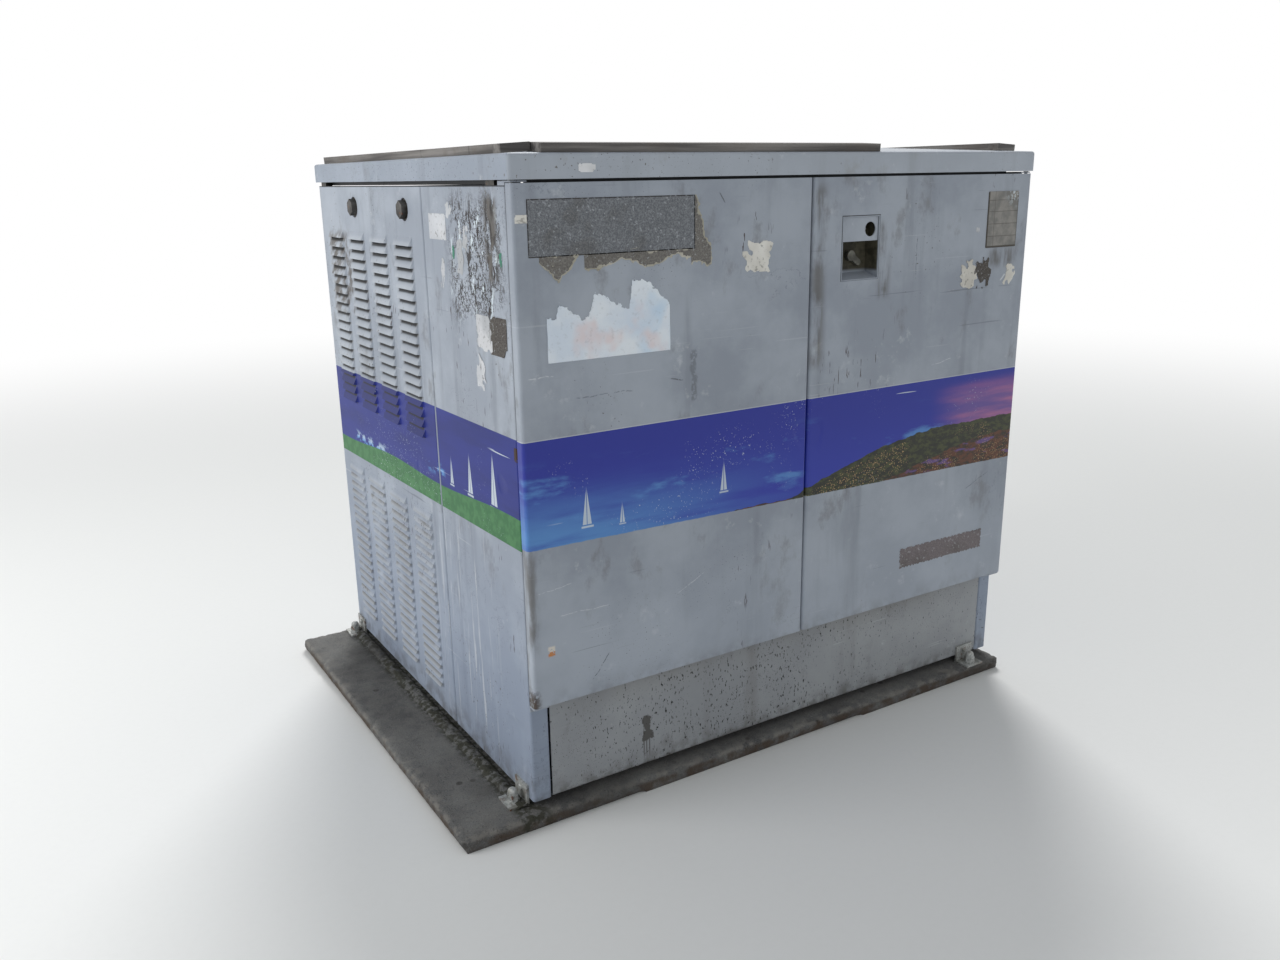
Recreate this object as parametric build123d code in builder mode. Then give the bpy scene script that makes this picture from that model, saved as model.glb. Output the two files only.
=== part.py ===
from build123d import *
import os
from math import atan2, cos, hypot, radians, sin

os.makedirs("parts", exist_ok=True)

# Roadside utility cabinet: a pad-mounted transformer in a painted sheet-steel housing.
# X runs to the right along the door side, the doors face -Y, Z is up, sizes in mm.
# The origin is on the ground under the middle of the housing.

# Housing
body_w = 1444.0
body_d = 1200.0
body_h = 1302.0
sheet = 3.0
bend_r = 5.0
post_w = 44.0
post_return = 30.0
side_flange = 30.0
top_flange = 30.0
foot_flange = 60.0
rear_return = 60.0
front_bay_d = 432.0
seam_gap = 2.0
panel_gap = 3.0
flange_end = 8.0
lip_depth = 14.0

# Plinth and base frame
plinth_h = 34.0
plinth_left = 176.0
plinth_right = 12.0
plinth_front_left = 24.0
plinth_front_right = 46.0
plinth_rear = 6.0
plinth_corner_r = 12.0
plinth_edge_r = 5.0
pit_side = 172.0
pit_d = 290.0
pit_setback = 95.0
base_gap = 18.0
base_inset = 32.0
base_bar = 60.0
chip_w = 66.0
chip_d = 9.0
chip_h = 14.0
chip_over = 1.0

# Louvres
louvre_w = 118.0
louvre_lip_w = 104.0
louvre_h = 20.0
louvre_out = 8.0
louvre_t = 1.6
louvre_slot = 3.6
louvre_pitch = 24.8
louvre_field_room = 180.0
louvre_col_pitch = 170.0
louvre_col_room = 88.0
upper_field_drop = 133.0
lower_field_rise = 67.6

# Roof
roof_gap = 10.0
roof_over_side = 8.0
roof_over_rear = 4.0
roof_over_door = 2.0
roof_skirt_h = 47.0
roof_rise = 30.0
roof_crown_inset = 500.0
roof_corner_r = 9.0
roof_edge_r = 7.0
roof_sheet = 2.5
roof_ledge = 34.0
roof_lip_clear = 1.5
roof_lip_end_gap = 12.0
spacer_l = 40.0
spacer_w = 18.0
spacer_inset = 22.0
spacer_edge = 2.0
board_t = 17.0
board_w = 62.0
board_edge = 14.0
board_joint = 1.5
board_seat = 0.2
side_board_rear = 53.0
left_board_front = 21.0
left_front_board_l = 145.0
left_board_seam = 8.0
right_board_front = 24.0
front_board_left = 70.0
front_board_right = 513.0

# Doors
door_t = 30.0
door_gap = 4.0
door_stand_off = 3.0
door_over = 2.0
seam_x = 5.0
door_bottom_z = 290.0
door_head_over = 4.0
door_skin = 2.0
door_lip = 26.0
door_edge_r = 8.0
door_fold_r = 1.5
stiffener_h = 18.0
stiffener_t = 2.0
stiffener_low = 12.0
stiffener_mid = 369.0
stiffener_head = 58.0
stiffener_foot = 12.0
stiffener_lip_gap = 1.0
stiffener_end_gap = 8.3
post_wide = 70.0
rail_h = 54.0
sill_z = 340.0
gasket_w = 8.0
gasket_gap = 0.3
gasket_foot = 10.0
gasket_head = 16.0

# Hinges
hinge_in = 8.0
hinge_pin_r = 4.0
hinge_clear = 0.05
hinge_boss_r = 7.5
hinge_boss_h = 12.0
hinge_plate_t = 3.0
hinge_plate_w = 34.0
hinge_head_r = 6.0
hinge_head_h = 1.2
hinge_end_gap = 1.5
lower_plate_t = 4.0
lower_plate_drop = 2.0
lower_leg_h = 12.0

# Lock pocket and latch
pocket_x0 = 93.0
pocket_x1 = 207.0
pocket_h = 143.0
pocket_drop = 82.0
pocket_depth = 45.0
pocket_t = 2.0
pocket_sill_rise = 13.0
pocket_fit = 0.2
cover_recess = 4.0
cover_t = 2.5
cover_h = 56.0
cover_gap = 0.3
bolt_hole_x = 181.0
bolt_hole_drop = 30.0
bolt_hole_r = 16.5
lock_bolt_r = 11.0
lock_bolt_h = 14.0
latch_x = 150.0
latch_drop = 90.0
shaft_r = 8.0
shaft_clear = 0.08
shaft_over = 2.0
hub_r = 12.0
hub_gap = 0.3
lever_l = 34.0
lever_w = 14.0
lever_t = 7.0
lever_angle = -35.0
hub_h = 6.0
rod_w = 16.0
rod_t = 4.0
rod_pocket_gap = 2.0
cam_gap = 1.0
cam_t = 4.0
cam_r = 46.0
cam_pin_r = 3.0
cam_slot_clear = 0.4
cam_r0 = 18.0
cam_turn = 90.0
spiral_steps = 6
pin_over = 1.0
rod_travel = 18.0
rod_end_gap = 4.0
guide_h = 10.0
guide_wall = 6.0
guide_clear = 0.4
upper_guide_drop = 7.0
slide_x = -60.0
slide_w = 20.0
slide_l = 120.0
slide_knob_r = 7.0
slide_knob_l = 16.0
slide_knob_in = 14.0
slide_guide_h = 40.0
slide_guide_in = 4.0

# Number plate
plate_side = 98.0
plate_drop = 105.0
plate_w = 110.0
plate_h = 136.0
plate_t = 1.2
plate_corner_r = 3.0

# Brackets, anchor bolts and screws
bracket_w = 60.0
bracket_leg = 48.0
bracket_foot = 47.0
bracket_t = 5.0
bracket_bolt_out = 26.0
bracket_front_in = 55.0
bracket_rear_in = 37.0
bracket_side_in = 92.0
washer_r = 15.0
washer_t = 3.0
nut_af = 24.0
nut_h = 14.0
dome_r = 11.0
dome_neck = 4.0
stud_r = 8.0
screw_head_r = 7.0
screw_head_h = 4.5
screw_chamfer = 1.5
screw_shank_r = 4.0
screw_clear = 0.2
screw_shank_l = 12.0
bracket_screw_z = 66.0
anchor_clear = 0.1
anchor_depth = 28.0
anchor_end_gap = 1.0
rear_screw_foot = 78.0
rear_screw_head = 74.0
rear_screw_rows = 4
rear_screw_inset = 42.0

# Lifting rails and bolts
rail_t = 26.0
lift_rail_h = 64.0
lift_drop = 52.0
lift_front = 99.0
lift_rear = 289.0
lift_hole_r = 26.0
lift_af = 36.0
lift_head_h = 15.0
lift_shank_r = 12.0
lift_shank_l = 22.0
rail_wall = 5.0

# Transformer
bulkhead_t = 3.0
bulkhead_top_gap = 30.0
window_side = 202.0
window_z0 = 160.0
window_drop = 224.0
tank_side_room = 182.0
tank_rear_room = 161.0
tank_head_room = 192.0
tank_edge_r = 20.0
tank_wall = 6.0
core_side_room = 100.0
core_head_room = 230.0
yoke_s = 160.0
coil_share = 0.92
lid_t = 10.0
lid_over = 24.0
lid_bolt_af = 18.0
lid_bolt_h = 9.0
lid_bolt_inset = 12.0
lid_bolt_count = 6
fin_t = 12.0
fin_d = 110.0
fin_end_room = 85.0
fin_pitch = 62.0
fin_row_room = 100.0
header_s = 40.0
radiator_gap = 30.0
hv_count = 3
hv_pitch = 130.0
hv_side = 70.0
hv_drop = 362.0
lv_count = 4
lv_pitch = 90.0
lv_side = 90.0
lv_drop = 402.0
bushing_flange_r = 45.0
bushing_flange_t = 12.0
bushing_r = 28.0
bushing_l = 130.0
bushing_taper = 4.0
shed_r = 36.0
shed_t = 8.0
lv_r = 22.0
lv_l = 90.0
lv_flange_r = 34.0
lv_flange_t = 10.0
spade_w = 40.0
spade_l = 100.0
spade_t = 8.0
spade_hole_r = 7.0
gauge_r = 38.0
gauge_t = 22.0
gauge_x = 100.0
gauge_drop = 122.0
thermo_r = 34.0
thermo_x = -60.0
drain_side = 100.0
drain_z = 210.0
drain_r = 18.0
drain_l = 54.0
relief_side = 180.0
relief_r = 26.0
relief_h = 48.0
relief_chamfer = 9.0
switch_drop = 280.0
switch_hub_r = 34.0
switch_boss_l = 30.0
switch_bar_l = 150.0
switch_bar_w = 22.0
switch_bar_t = 12.0
switch_spindle_r = 10.0
switch_spindle_l = 24.0
switch_bore_l = 26.0
handle_hub_r = 28.0
barrier_t = 4.0
barrier_gap = 0.3
barrier_end_gap = 5.0
ground_end_room = 90.0
ground_w = 8.0
ground_h = 40.0
ground_z = 110.0
ground_stand = 20.0
ground_post_r = 10.0
ground_hole_r = 6.0
ground_holes = 8
ground_pitch = 82.0

# Levels and planes worked out from the sizes above
x_side = body_w / 2
y_front = -body_d / 2
y_rear = body_d / 2
z_body = plinth_h + base_gap
z_top = z_body + body_h
y_seam = y_front + front_bay_d
half = sheet / 2
y_bulkhead = y_seam + seam_gap / 2 + sheet
y_tank = y_bulkhead + bulkhead_t
y_foot = y_front + foot_flange + panel_gap
y_rail0 = y_tank + panel_gap
y_rail1 = y_rear - sheet - bend_r
z_roof = z_top + roof_gap
z_eave = z_roof + roof_skirt_h
y_door = y_front - door_t
y_door_back = y_front - door_stand_off
z_door_top = z_top + door_head_over
door_h = z_door_top - door_bottom_z
left_door_x0 = -x_side - door_over
left_door_x1 = seam_x - door_gap / 2
right_door_x0 = seam_x + door_gap / 2
right_door_x1 = x_side + door_over
y_hinge = y_door_back - (door_t - door_stand_off) / 2 - 0.5
left_hinge_x = left_door_x0 + hinge_in
right_hinge_x = right_door_x1 - hinge_in
z_rail = z_top - rail_h
y_lip = y_front + lip_depth
y_pocket = y_door + pocket_depth
z_lip = z_top + roof_lip_clear
front_lip_x = x_side - hinge_plate_w - roof_lip_end_gap
y_rod0 = y_pocket + rod_pocket_gap
y_rod1 = y_rod0 + rod_t
y_cam0 = y_rod1 + cam_gap
y_cam1 = y_cam0 + cam_t
louvre_cols = round((y_rear - y_seam - louvre_col_room) / louvre_col_pitch)
louvre_rows = round((body_h / 2 - louvre_field_room) / louvre_pitch)
louvre_span = (louvre_rows - 1) * louvre_pitch
upper_field_z = z_top - upper_field_drop - louvre_span / 2
lower_field_z = z_body + lower_field_rise + louvre_span / 2
left_board_cuts = (
    y_rear - side_board_rear,
    y_seam - left_board_seam,
    y_front + left_board_front + left_front_board_l,
    y_front + left_board_front,
)
pocket_z1 = z_top - pocket_drop
pocket_z0 = pocket_z1 - pocket_h
cover_bottom_z = pocket_z1 - cover_h
bolt_hole_z = pocket_z1 - bolt_hole_drop
latch_z = pocket_z1 - latch_drop
stiffener_zs = (sill_z + stiffener_low, pocket_z0 - stiffener_mid, z_top - stiffener_head)
rear_screw_step = (body_h - rear_screw_foot - rear_screw_head) / (rear_screw_rows - 1)
rear_screw_zs = [z_body + rear_screw_foot + row * rear_screw_step for row in range(rear_screw_rows)]
lift_z = z_top - lift_drop
lift_ys = (y_rail0 + lift_front, y_rail1 - lift_rear)
pit_w = body_w - 2 * pit_side
window_w = body_w - 2 * window_side
window_z1 = z_top - window_drop
tank_w = body_w - 2 * tank_side_room
tank_d = y_rear - y_tank - tank_rear_room
tank_h = body_h - tank_head_room
z_tank = z_body + tank_h
core_w = tank_w - 2 * core_side_room
coil_pitch = core_w / 3
coil_r = coil_share * coil_pitch / 2
yoke_gap = tank_h - 2 * yoke_s - core_head_room
fin_h = tank_h - 2 * fin_end_room
fin_count = round((tank_d - fin_row_room) / fin_pitch)
radiator_z = z_body + tank_h / 2
hv_xs = [hv_side - tank_w / 2 + number * hv_pitch for number in range(hv_count)]
hv_z = z_tank - hv_drop
lv_xs = [tank_w / 2 - lv_side - number * lv_pitch for number in reversed(range(lv_count))]
lv_z = z_tank - lv_drop
gauge_z = z_tank - gauge_drop
drain_x = tank_w / 2 - drain_side
relief_x = tank_w / 2 - relief_side
switch_x = hv_xs[1]
switch_z = hv_z - switch_drop
ground_l = tank_w - 2 * ground_end_room
left_bracket_ys = (y_front + bracket_front_in, y_rear - bracket_rear_in)
front_bracket_x = x_side - bracket_side_in
left_bolts = [(-x_side - bracket_bolt_out, y) for y in left_bracket_ys]
front_bolt = (front_bracket_x, y_front - bracket_bolt_out)
bracket_bolts = left_bolts + [front_bolt]


def save(piece, name):
    """Label a finished piece and write it under its own name."""
    piece.part.label = name
    export_step(piece.part, f"parts/{name}.step")


def box(x0, x1, y0, y1, z0, z1, mode=Mode.ADD):
    """A block between two corners, inside the part being built."""
    with Locations(((x0 + x1) / 2, (y0 + y1) / 2, (z0 + z1) / 2)):
        Box(x1 - x0, y1 - y0, z1 - z0, mode=mode)


# Concrete plinth, cast a little askew, with the cable pit and a chipped front corner
plinth_x0 = -x_side - plinth_left
plinth_x1 = x_side + plinth_right
plinth_y0 = y_front - plinth_front_left
plinth_y1 = y_rear + plinth_rear
with BuildPart() as concrete_plinth:
    with BuildSketch() as slab:
        with BuildLine():
            Polyline(
                (plinth_x0, plinth_y0),
                (plinth_x1, y_front - plinth_front_right),
                (plinth_x1, plinth_y1),
                (plinth_x0, plinth_y1),
                close=True,
            )
        make_face()
        fillet(slab.vertices(), radius=plinth_corner_r)
    extrude(amount=plinth_h)
    fillet(concrete_plinth.faces().sort_by(Axis.Z)[-1].edges(), radius=plinth_edge_r)
    with Locations((0, y_front + pit_setback + pit_d / 2, plinth_h / 2)):
        Box(pit_w, pit_d, plinth_h, mode=Mode.SUBTRACT)
    with BuildSketch(Plane.YZ.offset(plinth_x0)):
        with BuildLine():
            Polyline(
                (plinth_y0 - chip_over, plinth_h + chip_over),
                (plinth_y0 + chip_d, plinth_h + chip_over),
                (plinth_y0 - chip_over, plinth_h - chip_h),
                close=True,
            )
        make_face()
    extrude(amount=chip_w, mode=Mode.SUBTRACT)
    with BuildSketch(Plane.XY.offset(plinth_h)):
        with Locations(*bracket_bolts):
            Circle(stud_r + anchor_clear)
    extrude(amount=-anchor_depth, mode=Mode.SUBTRACT)
save(concrete_plinth, "concrete_plinth")

# Welded base frame: a rectangle of flat bar with two cross members under the tank
base_x = x_side - base_inset
base_y = body_d / 2 - base_inset
with BuildPart() as base_frame:
    with BuildSketch(Plane.XY.offset(plinth_h)):
        Rectangle(2 * base_x, 2 * base_y)
        Rectangle(2 * (base_x - base_bar), 2 * (base_y - base_bar), mode=Mode.SUBTRACT)
        with Locations((0, y_tank + base_bar), (0, y_tank + tank_d - base_bar)):
            Rectangle(2 * base_x, base_bar)
    extrude(amount=base_gap)
save(base_frame, "base_frame")


# Front side panels: one folded sheet each, with the corner post and the seam flange
with BuildPart() as front_panel:
    with BuildSketch(Plane.XY.offset(z_body)):
        with BuildLine():
            FilletPolyline(
                (-x_side + side_flange, y_seam - seam_gap / 2 - half),
                (-x_side + half, y_seam - seam_gap / 2 - half),
                (-x_side + half, y_front + half),
                (-x_side + post_w - half, y_front + half),
                (-x_side + post_w - half, y_front + post_return),
                radius=bend_r,
            )
        trace(line_width=sheet)
    extrude(amount=body_h)
    box(-x_side + sheet, -x_side + foot_flange, y_foot, y_seam - flange_end, z_body, z_body + sheet)
    box(
        -x_side + sheet, -x_side + top_flange,
        y_front + post_return, y_seam - flange_end,
        z_top - sheet, z_top,
    )

with BuildPart() as left_front_panel:
    add(front_panel.part)
    with BuildSketch(Plane.YZ.offset(-x_side)):
        with Locations((left_bracket_ys[0], bracket_screw_z)):
            Circle(screw_shank_r + screw_clear)
    extrude(amount=sheet, mode=Mode.SUBTRACT)
save(left_front_panel, "left_front_panel")

with BuildPart() as right_front_panel:
    mirror(front_panel.part, about=Plane.YZ)
save(right_front_panel, "right_front_panel")

# One louvre: a pressed hood with closed ends and a drip lip, open underneath.
# Its own frame has x along the panel, y up, and the hood standing out along -z.
slope_len = hypot(louvre_h, louvre_out)
void_h = louvre_h - louvre_t * slope_len / louvre_out
void_out = louvre_out - louvre_t * slope_len / louvre_h
void_w = louvre_lip_w - 2 * louvre_t
with BuildPart() as louvre:
    with BuildSketch(Plane.YZ):
        with BuildLine():
            Polyline((0, 0), (louvre_h, 0), (0, -louvre_out), close=True)
        make_face()
    extrude(amount=louvre_w / 2, both=True)
    for side in (-1, 1):
        with BuildSketch(Plane.XZ.offset(-louvre_h)):
            with BuildLine():
                Polyline(
                    (side * louvre_w / 2, 0),
                    (side * louvre_lip_w / 2, -louvre_out),
                    (side * louvre_w / 2, -louvre_out),
                    close=True,
                )
            make_face()
        extrude(amount=louvre_h, mode=Mode.SUBTRACT)
    with BuildSketch(Plane.YZ):
        with BuildLine():
            Polyline((0, 0), (void_h, 0), (0, -void_out), close=True)
        make_face()
    extrude(amount=void_w / 2, both=True, mode=Mode.SUBTRACT)

# Louvred side panels: folded sheet with two fields of louvres, lifting holes and a rear return
y_louvres = (y_seam + y_rear) / 2
louvre_fields = [
    Plane(origin=(-x_side, y_louvres, z), x_dir=(0, 1, 0), z_dir=(1, 0, 0))
    for z in (upper_field_z, lower_field_z)
]
with BuildPart() as louvred_panel:
    with BuildSketch(Plane.XY.offset(z_body)):
        with BuildLine():
            FilletPolyline(
                (-x_side + side_flange, y_seam + seam_gap / 2 + half),
                (-x_side + half, y_seam + seam_gap / 2 + half),
                (-x_side + half, y_rear - half),
                (-x_side + rear_return, y_rear - half),
                radius=bend_r,
            )
        trace(line_width=sheet)
    extrude(amount=body_h)
    box(-x_side + sheet, -x_side + foot_flange, y_rail0, y_rear - flange_end, z_body, z_body + sheet)
    box(-x_side + sheet, -x_side + top_flange, y_rail0, y_rear - flange_end, z_top - sheet, z_top)
    for field in louvre_fields:
        with BuildSketch(field):
            with GridLocations(louvre_col_pitch, louvre_pitch, louvre_cols, louvre_rows):
                with Locations((0, -louvre_slot)):
                    Rectangle(void_w, void_h + louvre_slot, align=(Align.CENTER, Align.MIN))
        extrude(amount=sheet, mode=Mode.SUBTRACT)
        with Locations(field):
            with GridLocations(louvre_col_pitch, louvre_pitch, louvre_cols, louvre_rows):
                add(louvre.part)
    with BuildSketch(Plane.YZ.offset(-x_side)):
        with Locations(*[(y, lift_z) for y in lift_ys]):
            Circle(lift_hole_r)
    extrude(amount=sheet, mode=Mode.SUBTRACT)
    with BuildSketch(Plane.XZ.offset(-y_rear)):
        with Locations(*[(-x_side + rear_screw_inset, z) for z in rear_screw_zs]):
            Circle(screw_shank_r + screw_clear)
    extrude(amount=sheet, mode=Mode.SUBTRACT)

with BuildPart() as left_louvred_panel:
    add(louvred_panel.part)
    with BuildSketch(Plane.YZ.offset(-x_side)):
        with Locations((left_bracket_ys[1], bracket_screw_z)):
            Circle(screw_shank_r + screw_clear)
    extrude(amount=sheet, mode=Mode.SUBTRACT)
save(left_louvred_panel, "left_louvred_panel")

with BuildPart() as right_louvred_panel:
    mirror(louvred_panel.part, about=Plane.YZ)
save(right_louvred_panel, "right_louvred_panel")

# Rear panel, screwed to the inside of the two rear returns
with BuildPart() as rear_panel:
    box(
        -x_side + side_flange, x_side - side_flange,
        y_rear - 2 * sheet, y_rear - sheet,
        z_body + sheet, z_top - sheet,
    )
    with BuildSketch(Plane.XZ.offset(-(y_rear - sheet))):
        for side in (-1, 1):
            with Locations(*[(side * (x_side - rear_screw_inset), z) for z in rear_screw_zs]):
                Circle(screw_shank_r + screw_clear)
    extrude(amount=sheet, mode=Mode.SUBTRACT)
save(rear_panel, "rear_panel")

# Lower front panel between the corner posts, with a foot flange and a top lip
lower_panel_x = x_side - post_w - panel_gap
with BuildPart() as lower_front_panel:
    with BuildSketch(Plane.YZ):
        with BuildLine():
            FilletPolyline(
                (y_front + foot_flange, z_body + half),
                (y_front + half, z_body + half),
                (y_front + half, sill_z - half),
                (y_lip, sill_z - half),
                radius=bend_r,
            )
        trace(line_width=sheet)
    extrude(amount=lower_panel_x, both=True)
    with BuildSketch(Plane.XZ.offset(-y_front - sheet)):
        with Locations((front_bracket_x, bracket_screw_z)):
            Circle(screw_shank_r + screw_clear)
    extrude(amount=sheet, mode=Mode.SUBTRACT)
save(lower_front_panel, "lower_front_panel")

# Upper front rail, a channel between the corner posts
rail_x = x_side - post_w
with BuildPart() as upper_front_rail:
    with BuildSketch(Plane.YZ):
        with BuildLine():
            FilletPolyline(
                (y_lip, z_rail + half),
                (y_front + half, z_rail + half),
                (y_front + half, z_top - half),
                (y_lip, z_top - half),
                radius=bend_r,
            )
        trace(line_width=sheet)
    extrude(amount=rail_x, both=True)
save(upper_front_rail, "upper_front_rail")

# Centre post between the two door openings
with BuildPart() as centre_post:
    with BuildSketch(Plane.XY.offset(sill_z)):
        with BuildLine():
            FilletPolyline(
                (seam_x - post_wide / 2 + half, y_front + post_return),
                (seam_x - post_wide / 2 + half, y_front + half),
                (seam_x + post_wide / 2 - half, y_front + half),
                (seam_x + post_wide / 2 - half, y_front + post_return),
                radius=bend_r,
            )
        trace(line_width=sheet)
    extrude(amount=z_rail - sill_z)
save(centre_post, "centre_post")

# Door gasket, two closed rings of rubber strip stuck round the door openings
gasket_z0 = door_bottom_z + gasket_foot
gasket_z1 = z_door_top - gasket_head
gasket_rings = (
    (left_door_x0 + door_lip - gasket_w, left_door_x1 - door_lip + gasket_w),
    (right_door_x0 + door_lip - gasket_w, right_door_x1 - door_lip + gasket_w),
)
with BuildPart() as door_gasket:
    with BuildSketch(Plane.XZ.offset(-y_front)):
        for x0, x1 in gasket_rings:
            with Locations(((x0 + x1) / 2, (gasket_z0 + gasket_z1) / 2)):
                Rectangle(x1 - x0, gasket_z1 - gasket_z0)
                Rectangle(x1 - x0 - 2 * gasket_w, gasket_z1 - gasket_z0 - 2 * gasket_w, mode=Mode.SUBTRACT)
    extrude(amount=door_stand_off - gasket_gap)
save(door_gasket, "door_gasket")

# Roof cover: a pressed cap with deep skirts and a low hipped top. The ledge turned in
# underneath ends in lips turned down, which close the slot over the walls from view
roof_x = x_side + roof_over_side
roof_y0 = y_door - roof_over_door
roof_y1 = y_rear + roof_over_rear
roof_mid = (roof_y0 + roof_y1) / 2
roof_w = 2 * roof_x
roof_l = roof_y1 - roof_y0
z_crown = z_eave + roof_rise


def roof_level(z):
    """The plane of a level of the roof, centred on it."""
    return Plane(origin=(0, roof_mid, z))


def roof_form(inset, z_low, drop):
    """The roof's solid form, or its hollow when inset and dropped by the sheet."""
    corner = roof_corner_r - inset
    with BuildSketch(roof_level(z_low)) as skirt:
        RectangleRounded(roof_w - 2 * inset, roof_l - 2 * inset, corner)
    with BuildSketch(roof_level(z_eave - drop)) as eave:
        RectangleRounded(roof_w - 2 * inset, roof_l - 2 * inset, corner)
    with BuildSketch(roof_level(z_crown - drop)) as crown:
        RectangleRounded(roof_w - 2 * roof_crown_inset, roof_l - 2 * roof_crown_inset, corner)
    extrude(skirt.sketch, amount=z_eave - drop - z_low)
    loft([eave.sketch, crown.sketch])


with BuildPart() as roof_hollow:
    roof_form(roof_sheet, z_roof + roof_sheet, roof_sheet)
    eave_line = z_eave - roof_sheet
    hollow_eave = roof_hollow.edges().filter_by_position(Axis.Z, eave_line, eave_line)
    fillet(hollow_eave, radius=roof_edge_r - roof_sheet)

with BuildPart() as roof_cover:
    roof_form(0, z_roof, 0)
    fillet(roof_cover.edges().filter_by_position(Axis.Z, z_eave, z_eave), radius=roof_edge_r)
    add(roof_hollow.part, mode=Mode.SUBTRACT)
    box(
        -roof_x + roof_ledge, roof_x - roof_ledge,
        y_lip, roof_y1 - roof_ledge,
        z_roof, z_roof + roof_sheet,
        Mode.SUBTRACT,
    )
    for lip_x in (-roof_x + roof_ledge - roof_sheet, roof_x - roof_ledge):
        box(
            lip_x, lip_x + roof_sheet,
            y_front + post_return + roof_lip_end_gap, roof_y1 - roof_ledge + roof_sheet,
            z_lip, z_roof + roof_sheet,
        )
    for lip_y, lip_x in ((y_lip - roof_sheet, front_lip_x), (roof_y1 - roof_ledge, roof_x - roof_ledge)):
        box(-lip_x, lip_x, lip_y, lip_y + roof_sheet, z_lip, z_roof + roof_sheet)
save(roof_cover, "roof_cover")

# Spacers that leave the dark slot under the roof
spacer_x = x_side - spacer_edge - spacer_w / 2
spacer_y = body_d / 2 - spacer_inset - spacer_l / 2
with BuildPart() as roof_spacers:
    with BuildSketch(Plane.XY.offset(z_top)):
        for side in (-1, 1):
            with Locations((side * spacer_x, y_front + post_return + spacer_l), (side * spacer_x, spacer_y)):
                Rectangle(spacer_w, spacer_l)
    extrude(amount=roof_gap)
save(roof_spacers, "roof_spacers")

# Weathered boards along the roof edges, each lying on the slope of its side
roof_slope = atan2(roof_rise, roof_crown_inset)
board_foot = z_eave + board_edge * roof_rise / roof_crown_inset + board_seat
left_slope = Plane(
    origin=(-roof_x + board_edge, 0, board_foot),
    x_dir=(0, -1, 0),
    z_dir=(-sin(roof_slope), 0, cos(roof_slope)),
)
right_slope = Plane(
    origin=(roof_x - board_edge, 0, board_foot),
    x_dir=(0, 1, 0),
    z_dir=(sin(roof_slope), 0, cos(roof_slope)),
)
front_slope = Plane(
    origin=(0, roof_y0 + board_edge, board_foot),
    x_dir=(1, 0, 0),
    z_dir=(0, -sin(roof_slope), cos(roof_slope)),
)


def roof_board(slope, start, end):
    """A board with its outer edge on the slope's own x axis, between two stations."""
    with BuildSketch(slope) as board:
        with Locations(((start + end) / 2, board_w / 2)):
            Rectangle(abs(end - start), board_w)
    extrude(board.sketch, amount=board_t)


for number, name in enumerate(("rear", "middle", "front")):
    start = -left_board_cuts[number] + board_joint / 2
    end = -left_board_cuts[number + 1] - board_joint / 2
    with BuildPart() as left_board:
        roof_board(left_slope, start, end)
    save(left_board, f"roof_board_left_{name}")

with BuildPart() as roof_board_right:
    roof_board(right_slope, y_front + right_board_front, y_rear - side_board_rear)
save(roof_board_right, "roof_board_right")

with BuildPart() as roof_board_front:
    roof_board(front_slope, -x_side + front_board_left, x_side - front_board_right)
save(roof_board_front, "roof_board_front")


# Doors: pans folded from one sheet, with rounded upright edges and a lip all round the back
def door_pan(x0, x1, hinge_x):
    """The folded pan with its end flanges and the two hinge bosses."""
    skin_mid = door_skin / 2
    with BuildSketch(Plane.XY.offset(door_bottom_z)) as pan:
        with BuildLine():
            FilletPolyline(
                (x0 + door_lip, y_door_back - skin_mid),
                (x0 + skin_mid, y_door_back - skin_mid),
                (x0 + skin_mid, y_door + skin_mid),
                (x1 - skin_mid, y_door + skin_mid),
                (x1 - skin_mid, y_door_back - skin_mid),
                (x1 - door_lip, y_door_back - skin_mid),
                radius=[door_fold_r, door_edge_r - skin_mid, door_edge_r - skin_mid, door_fold_r],
            )
        trace(line_width=door_skin)
    extrude(pan.sketch, amount=door_h)
    for z in (door_bottom_z, z_door_top - door_skin):
        with BuildSketch(Plane.XY.offset(z)) as end_flange:
            with Locations(((x0 + x1) / 2, (y_door + y_door_back) / 2)):
                Rectangle(x1 - x0, y_door_back - y_door)
            fillet(end_flange.vertices().group_by(Axis.Y)[0], radius=door_edge_r)
            fillet(end_flange.vertices().group_by(Axis.Y)[-1], radius=door_fold_r + skin_mid)
        extrude(end_flange.sketch, amount=door_skin)
    for z in (door_bottom_z, z_door_top - door_lip):
        box(x0 + door_lip, x1 - door_lip, y_door_back - door_skin, y_door_back, z, z + door_lip)
    for z, rise in ((door_bottom_z, 1), (z_door_top, -1)):
        with BuildSketch(Plane.XY.offset(z)) as boss:
            with Locations((hinge_x, y_hinge)):
                Circle(hinge_boss_r)
        extrude(boss.sketch, amount=rise * (door_skin + hinge_boss_h))
        with BuildSketch(Plane.XY.offset(z)) as bore:
            with Locations((hinge_x, y_hinge)):
                Circle(hinge_pin_r + hinge_clear)
        extrude(bore.sketch, amount=rise * (door_skin + hinge_boss_h), mode=Mode.SUBTRACT)


with BuildPart() as left_door:
    door_pan(left_door_x0, left_door_x1, left_hinge_x)
save(left_door, "left_door")

with BuildPart() as right_door:
    door_pan(right_door_x0, right_door_x1, right_hinge_x)
    box(
        pocket_x0 - pocket_fit, pocket_x1 + pocket_fit,
        y_door, y_door + door_skin,
        pocket_z0 - pocket_fit, pocket_z1 + pocket_fit,
        Mode.SUBTRACT,
    )
save(right_door, "right_door")


# Hat-section stiffeners across the inside of each door
y_web = y_door_back - door_skin - stiffener_lip_gap


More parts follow.
